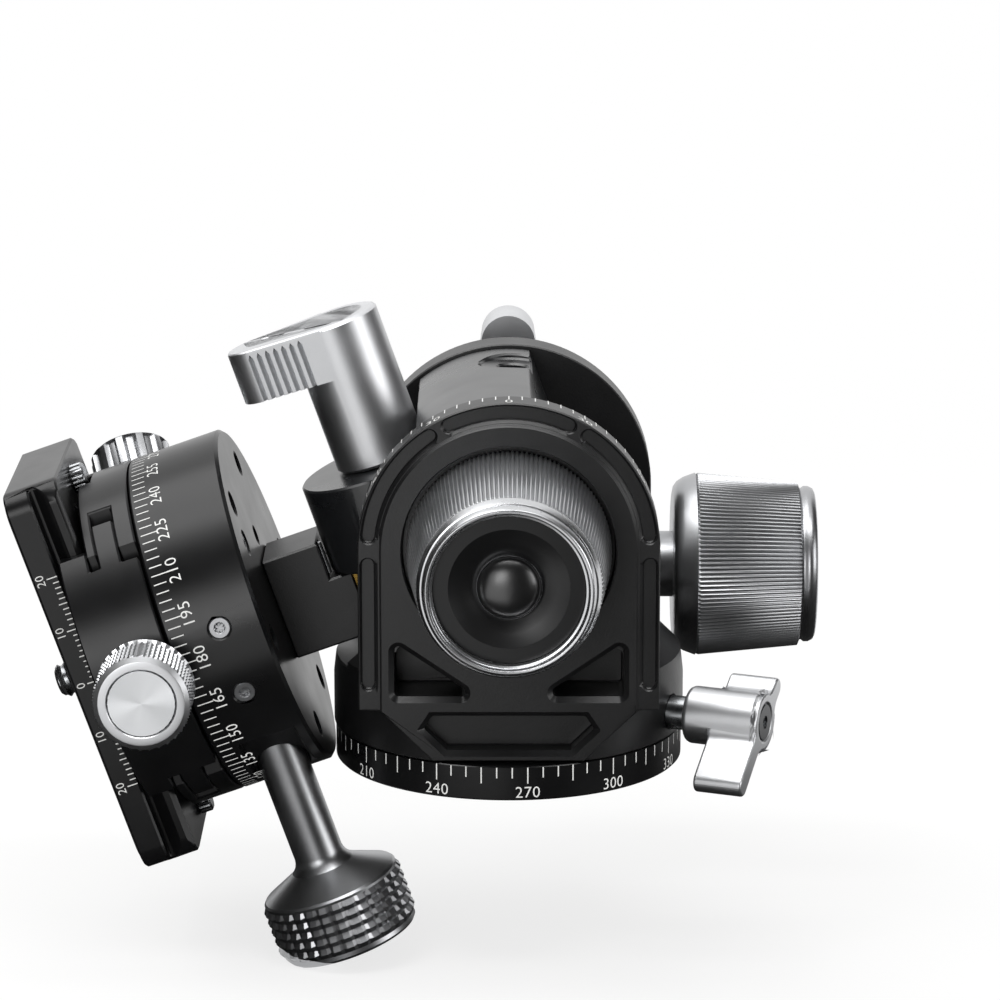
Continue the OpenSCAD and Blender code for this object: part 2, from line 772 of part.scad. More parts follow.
module rotor_solid() {
    difference() {
        bar_y(rotor_r, -rotor_half, rotor_half);
        block(-rotor_r - over, rotor_r + over, -rotor_half - over, rotor_half + over,
            -rotor_r - over, rotor_flat);
        block(boss_top, rotor_r + over, -rotor_half - over, rotor_half + over, lever_clear_z, rotor_r + over);
        block(-rotor_r - over, boss_low, -rotor_half - over, rotor_half + over, low_clear_z, rotor_r + over);
    }
    on_arm_axis() bar_x(boss_r, boss_low, boss_top);
    bar_y(journal_r, front_spigot_y, -rotor_half + over);
    bar_y(rear_shoulder_r, rotor_half - over, gear_y);
    bar_y(rear_journal_r, gear_y - over, rear_spigot_y);
}

module rotor() color([0.16, 0.16, 0.17]) tilted() difference() {
    rotor_solid();
    // room for the arm's barrel and gear, open towards the pan base
    on_arm_axis() bar_x(wheel_room_r, wheel_room_low, wheel_room_high);
    block(wheel_room_low, boss_mouth, -rotor_half - over, rotor_half + over, arm_axis, arm_axis + 2 * boss_r);
    // the arm's axle and the lever's stud
    on_arm_axis() bar_x(axle_bush_r, boss_low - over, wheel_room_low + over);
    on_arm_axis() bar_x(axle_bush_r, wheel_room_high - over, axle_bush_top);
    on_arm_axis() bar_x(shaft_r + fit, axle_bush_top - over, boss_top + over);
    // the front worm and its shaft
    bar_y(front_room_r, -front_room_y, front_room_y);
    bar_y(knob_bush_r, front_spigot_y - over, -front_room_y + over);
    bar_y(tail_r + fit, front_room_y - over, tail_y);
    bar_y(shaft_r + fit, rotor_half - 2 * over, rear_spigot_y + over);
    // the round flat with its screw hole
    rotate([0, spot_angle, 0]) translate([0, spot_y, 0]) bar_z(spot_r, spot_depth, rotor_r + over);
    rotate([0, spot_angle, 0]) translate([0, spot_y, 0]) bar_z(spot_hole_r, spot_hole_depth, rotor_r + over);
}

module tilt_wheel() color([0.8, 0.65, 0.33]) on_side_axis() translate([0, gear_y, 0])
    rotate([-90, 0, 0]) rotate(90)
        worm_gear(tilt_teeth, tilt_module, rear_journal_r, gear_w,
            atan(tilt_module / 2 / tilt_worm_r) * PI / 180 / tilt_gear_r * 180 / PI, 0.55, 0.9);

module axle_bushes() color([0.72, 0.55, 0.3]) tilted() on_arm_axis() {
    ring_x(axle_bush_r, axle_r + fit, boss_low, wheel_room_low);
    ring_x(axle_bush_r, axle_r + fit, wheel_room_high, axle_bush_top);
}

module knob_bush() color([0.72, 0.55, 0.3]) tilted()
    ring_y(knob_bush_r, knob_shaft_r + fit, front_spigot_y, -front_room_y);

module front_knob() color([0.66, 0.66, 0.67]) tilted() difference() {
    turned_y([[0, -knob_back_y], [front_knob_r - edge_break, -knob_back_y],
        [front_knob_r, -knob_back_y + edge_break], [front_knob_r, -knob_mid_y],
        [knob_rim_r, -knob_rim_y], [0, -knob_rim_y]]);
    bar_y(knob_shaft_r, knob_bore_end, knob_back_y + over);
    bar_y(dish_r, knob_rim_y - over, dish_floor);
}

module front_knob_ring() color([0.82, 0.82, 0.83]) tilted() difference() {
    turned_y([[0, -knob_rim_y], [ring_r, -knob_rim_y], [ring_mid_r, -front_knob_end],
        [0, -front_knob_end]]);
    bar_y(dish_r, front_knob_end - over, knob_rim_y + over);
}

module front_knob_dish() color([0.05, 0.05, 0.05]) tilted() {
    difference() {
        bar_y(dish_r, dish_flat_y, dish_floor);
        turned_y([[0, -dish_floor - edge_break], [dome_ring_r, -dish_floor - edge_break],
            [dish_in_r, -dish_flat_y + skin / 10], [0, -dish_flat_y + skin / 10]]);
    }
    turned_y([[0, -dish_floor], [dome_ring_r, -dish_floor], [dome_ring_r, -dish_floor + over],
        [dome_r, -dish_floor + over], [dome_r * cos(25), -dish_floor + over + dome_h * sin(25)],
        [dome_r * cos(50), -dish_floor + over + dome_h * sin(50)],
        [dome_r * cos(75), -dish_floor + over + dome_h * sin(75)], [0, -dish_floor + over + dome_h]]);
}

module front_worm() color([0.62, 0.62, 0.64]) tilted() {
    bar_y(knob_shaft_r, knob_bore_end, -front_room_y + over);
    bar_y(front_worm_r - front_worm_ecc - skin, -front_room_y, front_room_y - over);
    bar_y(tail_r, front_room_y - 2 * over, tail_y - skin);
    rotate([-90, 0, 0]) worm(front_worm_r, front_worm_ecc, PI * front_module, worm_turns, 90);
}

module tilt_lever() color([0.75, 0.76, 0.78]) tilted() on_arm_axis() translate([tilt_lever_in, 0, 0])
    rotate([0, 90, 0]) rotate(180) elbow_lever(tilt_lever_len, tilt_arm_t, tilt_arm_tip);

module tilt_lever_stud() color([0.6, 0.6, 0.62]) tilted() on_arm_axis()
    bar_x(shaft_r, tilt_stud_in, tilt_lever_in + lever_bore_depth);

module arm() color([0.12, 0.12, 0.13]) tilted() difference() {
    union() {
        difference() {
            union() {
                on_arm_axis() bar_x(barrel_r, arm_low, barrel_end);
                block(arm_low, arm_mid, -arm_half, arm_half, arm_axis, pan_low);
            }
            on_arm_axis() bar_x(wheel_gap_r, barrel_end, arm_mid + over);
        }
        on_arm_axis() bar_x(nose_r, barrel_end - over, nose_end);
        block(arm_mid - over, arm_high, -arm_half, arm_half, arm_root, pan_low);
    }
    on_arm_axis() bar_x(axle_r, arm_low - over, nose_end + over);
    translate([0, pin_at[0], pin_at[1]]) bar_x(pin_r, pin_low, pin_high);
    for (x = arm_screw_xs, s = [-1, 1]) translate([x, s * arm_screw_y, 0])
        bar_z(arm_screw_r, arm_screw_low, pan_low + over);
}

module front_wheel() color([0.8, 0.65, 0.33]) tilted() on_arm_axis() translate([-wheel_half, 0, 0])
    rotate([0, 90, 0])
        worm_gear(front_teeth, front_module, nose_r, 2 * wheel_half,
            atan(front_module / 2 / front_worm_r) * PI / 180 / front_gear_r * 180 / PI, 0.6, 1.05);

module axle() color([0.62, 0.62, 0.64]) tilted() on_arm_axis() bar_x(axle_r, axle_low, axle_high);

module limit_pin() color([0.85, 0.85, 0.86]) tilted() translate([0, pin_at[0], pin_at[1]])
    bar_x(pin_r, pin_low, pin_high);

module arm_screws() color([0.5, 0.5, 0.52]) tilted()
    for (x = arm_screw_xs, s = [-1, 1]) translate([x, s * arm_screw_y, 0]) difference() {
        union() {
            bar_z(arm_screw_r, arm_screw_low, arm_head_low);
            bar_z(arm_head_r, arm_head_low, pan_floor - skin);
        }
        translate([0, 0, pan_floor - over]) cylinder(r = small_socket_r, h = over, $fn = 6);
    }

module under_places() {
    for (i = [0:under_count - 1]) rotate(under_first + i * 360 / under_count)
        translate([under_r, 0, 0]) children();
}

module pan_base() color([0.09, 0.09, 0.1]) tilted() difference() {
    rotate_extrude() polygon([[0, pan_low], [pan_r - edge_break, pan_low], [pan_r, pan_low + edge_break],
        [pan_r, pan_seam], [0, pan_seam]]);
    bar_z(table_spigot_r + fit, pan_floor, pan_seam + over);
    bar_z(spindle_r + fit, spindle_low - skin, pan_floor + over);
    for (x = arm_screw_xs, s = [-1, 1]) translate([x, s * arm_screw_y, 0]) {
        bar_z(arm_screw_r, pan_low - over, pan_floor);
        bar_z(arm_head_r, arm_head_low, pan_floor + over);
    }
    rotate(lock_flat_turn) block(pan_r - lock_flat_deep, pan_r + over, -pan_r, lock_flat_end,
        lock_z - lock_pocket_half_z, lock_z + lock_pocket_half_z);
    on_pan_lock() bar_x(stem_r + fit, -pan_r - over, lock_pocket_x);
    on_pan_lock() bar_x(lock_screw_r + fit, lock_pocket_x - over, lock_shoe_out);
    on_pan_lock() bar_x(lock_shoe_r, lock_shoe_out - skin, -table_spigot_r / 2);
    under_places() bar_z(under_hole_r, pan_low - over, pan_low + under_hole_depth);
    translate([under_screw_at[0], under_screw_at[1], 0])
        bar_z(under_hole_r, pan_low - over, pan_low + under_hole_depth);
    translate([under_open_at[0], under_open_at[1], 0])
        bar_z(under_open_r, pan_low - over, pan_low + under_hole_depth);
    for (a = side_screw_angles) rotate(a - 90) translate([0, 0, lock_z])
        bar_x(side_screw_r, pan_r - side_screw_depth, pan_r + over);
}

module side_screws() color([0.82, 0.82, 0.84]) tilted()
    for (a = side_screw_angles) rotate(a - 90) translate([0, 0, lock_z]) difference() {
        bar_x(side_screw_r, pan_r - side_screw_depth, pan_r - side_screw_sink);
        for (k = [0, 60, 120]) rotate([k, 0, 0])
            block(pan_r - over, pan_r + over, -torx_r, torx_r, -torx_r / 3, torx_r / 3);
    }

module under_screws() color([0.3, 0.3, 0.31]) tilted()
    translate([under_screw_at[0], under_screw_at[1], 0]) difference() {
        bar_z(under_hole_r, pan_low + skin, pan_low + under_hole_depth);
        translate([0, 0, pan_low - over]) cylinder(r = small_socket_r, h = 2 * over, $fn = 6);
    }

module thrust_washer() color([0.85, 0.84, 0.8]) tilted() ring_z(thrust_out_r, washer_in_r, pan_floor, thrust_top);

module pan_shoe() color([0.78, 0.62, 0.3]) tilted() on_pan_lock() bar_x(lock_shoe_r, lock_shoe_out, lock_shoe_in);

module pan_knob() color([0.42, 0.42, 0.43]) tilted() on_pan_lock() difference() {
    rotate([0, -90, 0]) rotate_extrude() polygon([[0, -stem_in], [stem_r - edge_break, -stem_in],
        [stem_r, -stem_in + edge_break], [stem_r, -stem_low], [flare_r[0], -flare_x[0]],
        [flare_r[1], -flare_x[1]], [flare_r[2], -flare_x[2]], [pan_knob_r, -head_in],
        [pan_knob_r, -head_out], [pan_knob_r - edge_break, -head_end], [0, -head_end]]);
    bar_x(lock_screw_r, lock_screw_out, stem_in + over);
}

module pan_knob_screw() color([0.62, 0.62, 0.64]) tilted() on_pan_lock()
    bar_x(lock_screw_r, lock_screw_out, lock_screw_in);

// Cross-section of a jaw above the turntable, in Y and Z, for the rear jaw
module jaw_section() {
    polygon([[jaw_face_y, table_top - over], [pan_r + over, table_top - over],
        [pan_r + over, jaw_top], [jaw_lip_y, jaw_top], [jaw_lip_y, jaw_top - skin],
        [jaw_face_y, jaw_lip_z]]);
}

module jaw_bar() {
    intersection() {
        bar_z(pan_r, table_top - over, jaw_top);
        translate([-jaw_half, 0, 0]) rotate([90, 0, 90]) linear_extrude(2 * jaw_half) jaw_section();
    }
}

module turntable() color([0.1, 0.1, 0.11]) tilted() difference() {
    union() {
        bar_z(pan_r, table_low, table_top);
        bar_z(table_spigot_r, table_spigot_low, table_low + over);
        bar_z(spindle_r, spindle_low, table_spigot_low + over);
        jaw_bar();
    }
    block(-pan_r - over, pan_r + over, -pan_r - over, prong_y, table_low - skin / 2, table_top + over);
    block(-pan_r - over, pan_r + over, -pan_r - over, tongue_slot_y, tongue_low, tongue_high);
    on_clamp() bar_y(clamp_screw_r + fit, prong_y - over, clamp_bore_end);
    on_clamp() bar_y(spring_r + fit, tongue_y - fit, spring_end);
    for (s = [-1, 1]) translate([s * guide_x, 0, clamp_z]) bar_y(guide_r + fit, tongue_slot_y - over, guide_bore_end);
    on_drag() bar_x(drag_stem_r + fit, drag_stem_low, pan_r + over);
    block(-pan_r - over, pan_r + over, -stop_slot_half, stop_slot_half, stop_slot_low, table_top + over);
}

module jaw_spring() color([0.7, 0.7, 0.72]) tilted() on_clamp() translate([0, spring_end, 0]) rotate([90, 0, 0])
    linear_extrude(height = spring_end - tongue_y - fit, twist = -360 * spring_turns,
        slices = 14 * spring_turns, $fn = 12)
        polygon([for (a = [0:20:80]) spring_r * [cos(a), sin(a)], for (a = [80:-20:0]) spring_in_r * [cos(a), sin(a)]]);

module jaw() color([0.1, 0.1, 0.11]) tilted() difference() {
    union() {
        intersection() {
            bar_z(pan_r, jaw_low, table_top + tongue_gap + over);
            block(-pan_r, pan_r, -pan_r, jaw_floor_y, jaw_low, table_top + tongue_gap + over);
        }
        intersection() {
            bar_z(pan_r, jaw_low, table_top);
            block(-pan_r, pan_r, -pan_r, tongue_y, tongue_low + tongue_gap, tongue_high - tongue_gap);
        }
        intersection() {
            mirror([0, 1, 0]) jaw_bar();
            bar_z(pan_r, table_top + tongue_gap, jaw_top);
        }
    }
    // the block above the turntable ends at the jaw's length
    for (s = [-1, 1]) translate([s * (jaw_half + pan_r), 0, 0])
        block(-pan_r, pan_r, -pan_r - over, 0, table_top + tongue_gap, jaw_top + over);
    on_clamp() bar_y(clamp_screw_r + fit, -pan_r - over, tongue_y + over);
    for (s = [-1, 1]) translate([s * guide_x, 0, clamp_z]) bar_y(guide_r, guide_out, tongue_y + over);
}

module guide_pins() color([0.7, 0.7, 0.72]) tilted()
    for (s = [-1, 1]) translate([s * guide_x, 0, clamp_z]) bar_y(guide_r, guide_out, guide_in);

module clamp_knob() color([0.7, 0.7, 0.71]) tilted() on_clamp() difference() {
    turned_y([[0, -knob_hub_y], [knob_hub_r, -knob_hub_y], [knob_hub_r, -clamp_back_y],
        [clamp_knob_r - edge_break, -clamp_back_y], [clamp_knob_r, -clamp_back_y + edge_break],
        [clamp_knob_r, -clamp_front_y - over], [clamp_ring_r, -clamp_front_y], [0, -clamp_front_y]]);
    bar_y(clamp_screw_r, clamp_screw_out, knob_hub_y + over);
    bar_y(clamp_disc_r, clamp_front_y - over, clamp_front_y + clamp_disc_t);
}

module clamp_disc() color([0.85, 0.85, 0.86]) tilted() on_clamp()
    bar_y(clamp_disc_r, clamp_front_y + clamp_disc_out, clamp_front_y + clamp_disc_t);

module clamp_screw() color([0.62, 0.62, 0.64]) tilted() on_clamp()
    bar_y(clamp_screw_r, clamp_screw_out, clamp_screw_end);

module plate_top_outline(inset) {
    half_len = plate_len / 2 - inset;
    half = plate_half - inset;
    hull() for (sx = [-1, 1], sy = [-1, 1])
        translate([sx * (half_len - plate_round), sy * (half - plate_round)]) circle(r = plate_round, $fn = 32);
}

// Outline of the dovetail in Y and Z, from the turntable up to the top slab
module dovetail_section() {
    polygon([[-flange_half + flange_bevel, plate_low], [flange_half - flange_bevel, plate_low],
        [flange_half, plate_low + flange_bevel], [flange_half, flange_top], [groove_half, groove_low],
        [groove_half, groove_high + skin], [-groove_half, groove_high + skin], [-groove_half, groove_low],
        [-flange_half, flange_top], [-flange_half, plate_low + flange_bevel]]);
}

module plate() color([0.12, 0.12, 0.12]) tilted() difference() {
    union() {
        translate([0, 0, groove_high]) linear_extrude(plate_top - groove_high) plate_top_outline(0);
        intersection() {
            translate([-plate_len / 2, 0, 0]) rotate([90, 0, 90]) linear_extrude(plate_len) dovetail_section();
            translate([0, 0, plate_low]) linear_extrude(plate_top - plate_low) plate_top_outline(0);
        }
    }
    for (s = [-1, 1]) translate([s * slot_half_len, 0, 0]) {
        bar_z(slot_half, plate_low - over, plate_top + over);
        bar_z(recess_half, plate_low - over, recess_top);
    }
    block(-slot_half_len, slot_half_len, -slot_half, slot_half, plate_low - over, plate_top + over);
    block(-slot_half_len, slot_half_len, -recess_half, recess_half, plate_low - over, recess_top);
}

module plate_pad() color([0.2, 0.2, 0.2]) tilted() difference() {
    translate([0, 0, plate_top]) linear_extrude(plate_pad_t) plate_top_outline(pad_inset);
    for (s = [-1, 1]) translate([s * slot_half_len, 0, 0]) bar_z(slot_half, plate_top - over, plate_top + 2 * over);
    block(-slot_half_len, slot_half_len, -slot_half, slot_half, plate_top - over, plate_top + 2 * over);
}

module stop_screws() color([0.78, 0.78, 0.8]) tilted()
    for (s = [-1, 1]) translate([s * stop_x, 0, 0]) difference() {
        bar_z(stop_r, stop_low, plate_low);
        block(-stop_r - over, stop_r + over, -skin, skin, stop_low - over, stop_low + edge_break);
    }

module drag_knob() color([0.35, 0.35, 0.36]) tilted() on_drag() difference() {
    turned_x([[0, drag_low], [drag_r - edge_break, drag_low], [drag_r, drag_low + edge_break],
        [drag_r, drag_high - 2 * edge_break], [drag_r - 2 * edge_break, drag_high], [0, drag_high]]);
    bar_x(drag_stem_r, drag_low - over, drag_stem_high);
}

module drag_stem() color([0.62, 0.62, 0.64]) tilted() on_drag()
    bar_x(drag_stem_r, drag_stem_low, drag_stem_high);

module camera_screw() color([0.72, 0.72, 0.74]) tilted() translate([camera_x, 0, 0]) difference() {
    union() {
        bar_z(head_r, head_low, recess_top - head_gap);
        bar_z(camera_neck_r, recess_top - over, camera_low + over);
        bar_z(camera_r, camera_low, camera_top);
    }
    block(-head_r - over, head_r + over, -coin_slot / 2, coin_slot / 2, head_low - over, head_low + coin_depth);
}

base_disc();
base_pad();
thread_bush();
pan_washer();
pan_retainer();
retainer_screws();
yoke();
front_bush();
worm_bushes();
rear_cover();
cover_screws();
rear_bush();
lock_pad();
base_knob();
base_knob_stud();
side_knob();
side_knob_cap();
side_worm();
rear_lever();
rear_lever_stud();
rotor();
tilt_wheel();
axle_bushes();
knob_bush();
front_knob();
front_knob_ring();
front_knob_dish();
front_worm();
tilt_lever();
tilt_lever_stud();
arm();
front_wheel();
axle();
limit_pin();
arm_screws();
pan_base();
side_screws();
under_screws();
thrust_washer();
pan_shoe();
pan_knob();
pan_knob_screw();
turntable();
jaw_spring();
plate();
plate_pad();
stop_screws();
jaw();
guide_pins();
clamp_knob();
clamp_disc();
clamp_screw();
drag_knob();
drag_stem();
camera_screw();
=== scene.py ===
import math

import bmesh
import bpy
from mathutils import Matrix, Vector


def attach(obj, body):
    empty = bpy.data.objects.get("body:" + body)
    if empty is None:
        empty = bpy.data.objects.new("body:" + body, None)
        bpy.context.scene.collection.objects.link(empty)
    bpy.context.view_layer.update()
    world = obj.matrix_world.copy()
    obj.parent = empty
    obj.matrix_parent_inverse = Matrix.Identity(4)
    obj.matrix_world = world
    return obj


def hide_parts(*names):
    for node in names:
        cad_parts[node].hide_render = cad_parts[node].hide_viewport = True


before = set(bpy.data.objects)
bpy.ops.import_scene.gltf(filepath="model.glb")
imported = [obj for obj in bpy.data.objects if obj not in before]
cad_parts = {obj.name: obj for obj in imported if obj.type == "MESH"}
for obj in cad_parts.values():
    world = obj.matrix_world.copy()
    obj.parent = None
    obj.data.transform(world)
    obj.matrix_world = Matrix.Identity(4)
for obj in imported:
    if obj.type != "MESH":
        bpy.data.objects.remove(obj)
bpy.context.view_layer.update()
bpy.ops.object.select_all(action="DESELECT")

MM = 0.001

# Where the parts of the head sit, in millimetres and degrees, as in the CAD model
TILT_HEIGHT = 43.9
TILT_REST = -109.5
SIDE_KNOB_SEAT = (0, 26.5, 27.8)
REAR_LEVER_SEAT = (0, 33.9, TILT_HEIGHT)
WING_HEIGHT = 10.6
WING_TURN = -22.6
PLATE_FACE_Y = -28.5
DIAL_RADIUS = 31.0
# and, in the tilted frame of the rotor and all that it carries:
TILT_LEVER_SEAT = (17.2, 0, 17.7)
PAN_LOCK_SEAT = (0, -15.7, 51.3)
CLAMP_SEAT = (0, 0, 66.1)
DRAG_SEAT = (0, 0, 63.7)
DRAG_TURN = 42
CAMERA_BOLT_SEAT = (-2.5, 0, 0)
STOP_SCREW_X = 31.6

# Pieces are modelled in millimetres. Each place below turns and moves them to where they sit, in metres.
WORLD = Matrix.Scale(MM, 4)
TILTED = (Matrix.Translation((0, 0, TILT_HEIGHT * MM))
          @ Matrix.Rotation(math.radians(TILT_REST), 4, "Y") @ WORLD)
TURN_X = Matrix.Rotation(math.radians(90), 4, "Y")
TURN_Y = Matrix.Rotation(math.radians(90), 4, "X")
FRONT_KNOB = TILTED @ TURN_Y
TILT_LEVER = TILTED @ Matrix.Translation(TILT_LEVER_SEAT) @ TURN_X @ Matrix.Rotation(math.pi, 4, "Z")
REAR_LEVER = (WORLD @ Matrix.Translation(REAR_LEVER_SEAT) @ Matrix.Rotation(-math.pi / 2, 4, "X")
              @ Matrix.Rotation(-math.pi / 2, 4, "Z"))
SIDE_KNOB = WORLD @ Matrix.Translation(SIDE_KNOB_SEAT) @ TURN_X
WING_KNOB = (WORLD @ Matrix.Rotation(math.radians(WING_TURN), 4, "Z")
             @ Matrix.Translation((0, 0, WING_HEIGHT)) @ TURN_X)
PAN_LOCK = TILTED @ Matrix.Translation(PAN_LOCK_SEAT) @ Matrix.Rotation(-math.pi / 2, 4, "Y")
CLAMP = TILTED @ Matrix.Translation(CLAMP_SEAT) @ TURN_Y
DRAG = TILTED @ Matrix.Rotation(math.radians(DRAG_TURN), 4, "Z") @ Matrix.Translation(DRAG_SEAT) @ TURN_X
CAMERA_BOLT = TILTED @ Matrix.Translation(CAMERA_BOLT_SEAT)


# Modelling, as by hand

def only(piece):
    """Selects one piece and nothing else."""
    bpy.ops.object.select_all(action="DESELECT")
    piece.select_set(True)
    bpy.context.view_layer.objects.active = piece


def pick(piece, test):
    """In edit mode, selects the corners whose place passes the test."""
    mesh = bmesh.from_edit_mesh(piece.data)
    for vert in mesh.verts:
        vert.select = bool(test(vert.co))
    mesh.select_flush_mode()
    bmesh.update_edit_mesh(piece.data)


def pick_edges(piece, test):
    """In edit mode, selects the edges that pass the test."""
    bpy.ops.mesh.select_mode(type="EDGE")
    mesh = bmesh.from_edit_mesh(piece.data)
    for edge in mesh.edges:
        edge.select_set(bool(test(edge)))
    bmesh.update_edit_mesh(piece.data)


def turned(name, outline, count=96, ring=False):
    """A piece turned about Z: a circle, drawn out from step to step of its (radius, height) outline."""
    radius, height = outline[0]
    bpy.ops.object.select_all(action="DESELECT")
    bpy.ops.mesh.primitive_circle_add(vertices=count, radius=radius, fill_type="NOTHING", enter_editmode=True)
    piece = bpy.context.object
    piece.name = name
    bpy.ops.mesh.select_all(action="SELECT")
    bpy.ops.transform.translate(value=(0, 0, height))
    for next_radius, next_height in outline[1:]:
        bpy.ops.mesh.extrude_region_move(TRANSFORM_OT_translate={"value": (0, 0, next_height - height)})
        share = next_radius / radius
        bpy.ops.transform.resize(value=(share, share, 1), center_override=(0, 0, next_height))
        radius, height = next_radius, next_height
    if ring:
        bpy.ops.mesh.select_mode(type="EDGE")
        bpy.ops.mesh.select_all(action="DESELECT")
        bpy.ops.mesh.select_non_manifold()
        bpy.ops.mesh.bridge_edge_loops()
        bpy.ops.mesh.select_mode(type="VERT")
    else:
        bpy.ops.mesh.select_all(action="SELECT")
        bpy.ops.mesh.fill_holes(sides=0)
    bpy.ops.mesh.select_all(action="SELECT")
    bpy.ops.mesh.normals_make_consistent(inside=False)
    bpy.ops.object.mode_set(mode="OBJECT")
    return piece


def press(piece, steps, low, high, share):
    """Presses some corners inwards, between two heights: steps(angle, z) says which, the angle in radians."""
    only(piece)
    bpy.ops.object.mode_set(mode="EDIT")
    bpy.ops.mesh.select_mode(type="VERT")
    slack = 0.001
    pick(piece, lambda p: low - slack < p.z < high + slack and steps(math.atan2(p.y, p.x) % math.tau, p.z))
    bpy.ops.transform.resize(value=(share, share, 1), center_override=(0, 0, 0))
    bpy.ops.object.mode_set(mode="OBJECT")


def step_at(angle, count):
    """The number of the step that lies at an angle, on a piece with this many steps round it."""
    return round(angle / math.tau * count)


def smooth(piece, angle):
    """Shades round what bends less than the angle, in degrees."""
    only(piece)
    bpy.ops.object.shade_smooth_by_angle(angle=math.radians(angle))
    return piece


def shade(piece, angle=32):
    """Shades round, and keeps flat faces flat beside their broken edges."""
    smooth(piece, angle)
    weigh = piece.modifiers.new("weigh", "WEIGHTED_NORMAL")
    weigh.keep_sharp = True
    bpy.ops.object.modifier_apply(modifier="weigh")
    return piece


def soften(piece, width, segments=2, angle=30):
    """Breaks the edges that bend more than the angle, and shades the rest round."""
    only(piece)
    bevel = piece.modifiers.new("edge", "BEVEL")
    bevel.width = width
    bevel.segments = segments
    bevel.limit_method = "ANGLE"
    bevel.angle_limit = math.radians(angle)
    bevel.use_clamp_overlap = False
    bpy.ops.object.modifier_apply(modifier="edge")
    return shade(piece)


def from_solid(node, name, where=WORLD):
    """A copy of a CAD solid in millimetres, with its flat faces joined, ready to work on."""
    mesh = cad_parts[node].data.copy()
    mesh.transform(where.inverted())
    mesh.materials.clear()
    piece = bpy.data.objects.new(name, mesh)
    bpy.context.scene.collection.objects.link(piece)
    only(piece)
    bpy.ops.mesh.customdata_custom_splitnormals_clear()
    bpy.ops.object.mode_set(mode="EDIT")
    bpy.ops.mesh.select_mode(type="VERT")
    bpy.ops.mesh.select_all(action="SELECT")
    bpy.ops.mesh.remove_doubles(threshold=0.002)
    bpy.ops.mesh.dissolve_limited(angle_limit=math.radians(0.8))
    bpy.ops.object.mode_set(mode="OBJECT")
    return piece


def cut(piece, tool):
    """Cuts a tool's shape out of a piece."""
    only(piece)
    taken = piece.modifiers.new("cut", "BOOLEAN")
    taken.object = tool
    taken.operation = "DIFFERENCE"
    taken.solver = "EXACT"
    bpy.ops.object.modifier_apply(modifier="cut")
    bpy.data.objects.remove(tool)
    return piece


def joined(pieces, name):
    """Joins pieces to one."""
    bpy.ops.object.select_all(action="DESELECT")
    for piece in pieces:
        piece.select_set(True)
    bpy.context.view_layer.objects.active = pieces[0]
    if len(pieces) > 1:
        bpy.ops.object.join()
    pieces[0].name = name
    return pieces[0]


def settle(piece, where, body, finish, slot, *nodes):
    """Puts a finished piece in its place, on its body, with its finish."""
    piece.matrix_world = where
    only(piece)
    bpy.ops.object.transform_apply(location=True, rotation=True, scale=True)
    piece.data.materials.clear()
    piece.data.materials.append(finish)
    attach(piece, body)
    if nodes:
        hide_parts(*nodes)
    return piece


def casting(node, body, finish, slot, width=0.3, shape=None):
    """A machined solid with small crisp chamfers along its square edges."""
    piece = from_solid(node, node + "_body")
    if shape:
        shape(piece)
    soften(piece, width, 1, 50)
    return settle(piece, WORLD, body, finish, slot, node)


# Materials

def linear(code):
    """An sRGB hex value as the linear colour that a node takes."""
    parts = [int(code[i:i + 2], 16) / 255 for i in (1, 3, 5)]
    return (*[c / 12.92 if c <= 0.04045 else ((c + 0.055) / 1.055) ** 2.4 for c in parts], 1.0)


def add(tree, kind, settings=None, links=None):
    """Adds a node with its settings and links; a key is an input's name or place, or else a property."""
    node = tree.nodes.new(kind)
    for key, value in (settings or {}).items():
        if isinstance(key, int) or key in node.inputs:
            node.inputs[key].default_value = value
        else:
            setattr(node, key, value)
    for key, source in (links or {}).items():
        tree.links.new(source, node.inputs[key])
    return node


def per_mm(size):
    """The scale of a pattern in metres whose grains are this many millimetres wide."""
    return 1 / (size * MM)


def surface(name, dark, light, metallic, rough, grain, relief, patch=9.0, turning=0.0, ior=1.5):
    """A finish with slow changes of tone between two colours, a varied roughness and a fine relief.
    grain and relief are the width and depth of the blasted or machined texture and patch the width of the
    changes of tone, in millimetres. turning is how much lathe marks stretch the highlights."""
    material = bpy.data.materials.new(name)
    material.use_nodes = True
    tree = material.node_tree
    tree.nodes.clear()
    place = add(tree, "ShaderNodeTexCoord").outputs["Object"]
    slow = add(tree, "ShaderNodeTexNoise", {"Scale": per_mm(patch), "Detail": 3.0}, {"Vector": place})
    fine = add(tree, "ShaderNodeTexNoise", {"Scale": per_mm(grain), "Detail": 2.0}, {"Vector": place})
    blend = add(tree, "ShaderNodeMath", {"operation": "MULTIPLY_ADD", 1: 0.35}, {0: fine.outputs["Fac"]})
    tree.links.new(add(tree, "ShaderNodeMapRange", {1: 0.3, 2: 0.7, 3: 0.0, 4: 0.65},
                       {0: slow.outputs["Fac"]}).outputs[0], blend.inputs[2])
    tone = add(tree, "ShaderNodeMix", {"data_type": "RGBA", 6: linear(dark), 7: linear(light)},
               {0: blend.outputs[0]})
    gloss = add(tree, "ShaderNodeMapRange", {1: 0.25, 2: 0.75, 3: rough[0], 4: rough[1]},
                {0: slow.outputs["Fac"]})
    bump = add(tree, "ShaderNodeBump", {"Strength": 0.6, "Distance": relief * MM},
               {"Height": fine.outputs["Fac"]})
    shader = add(tree, "ShaderNodeBsdfPrincipled",
                 {"Metallic": metallic, "IOR": ior, "Anisotropic": turning},
                 {"Base Color": tone.outputs[2], "Roughness": gloss.outputs[0], "Normal": bump.outputs[0]})
    add(tree, "ShaderNodeOutputMaterial", links={"Surface": shader.outputs[0]})
    material.diffuse_color = linear(light)
    return material


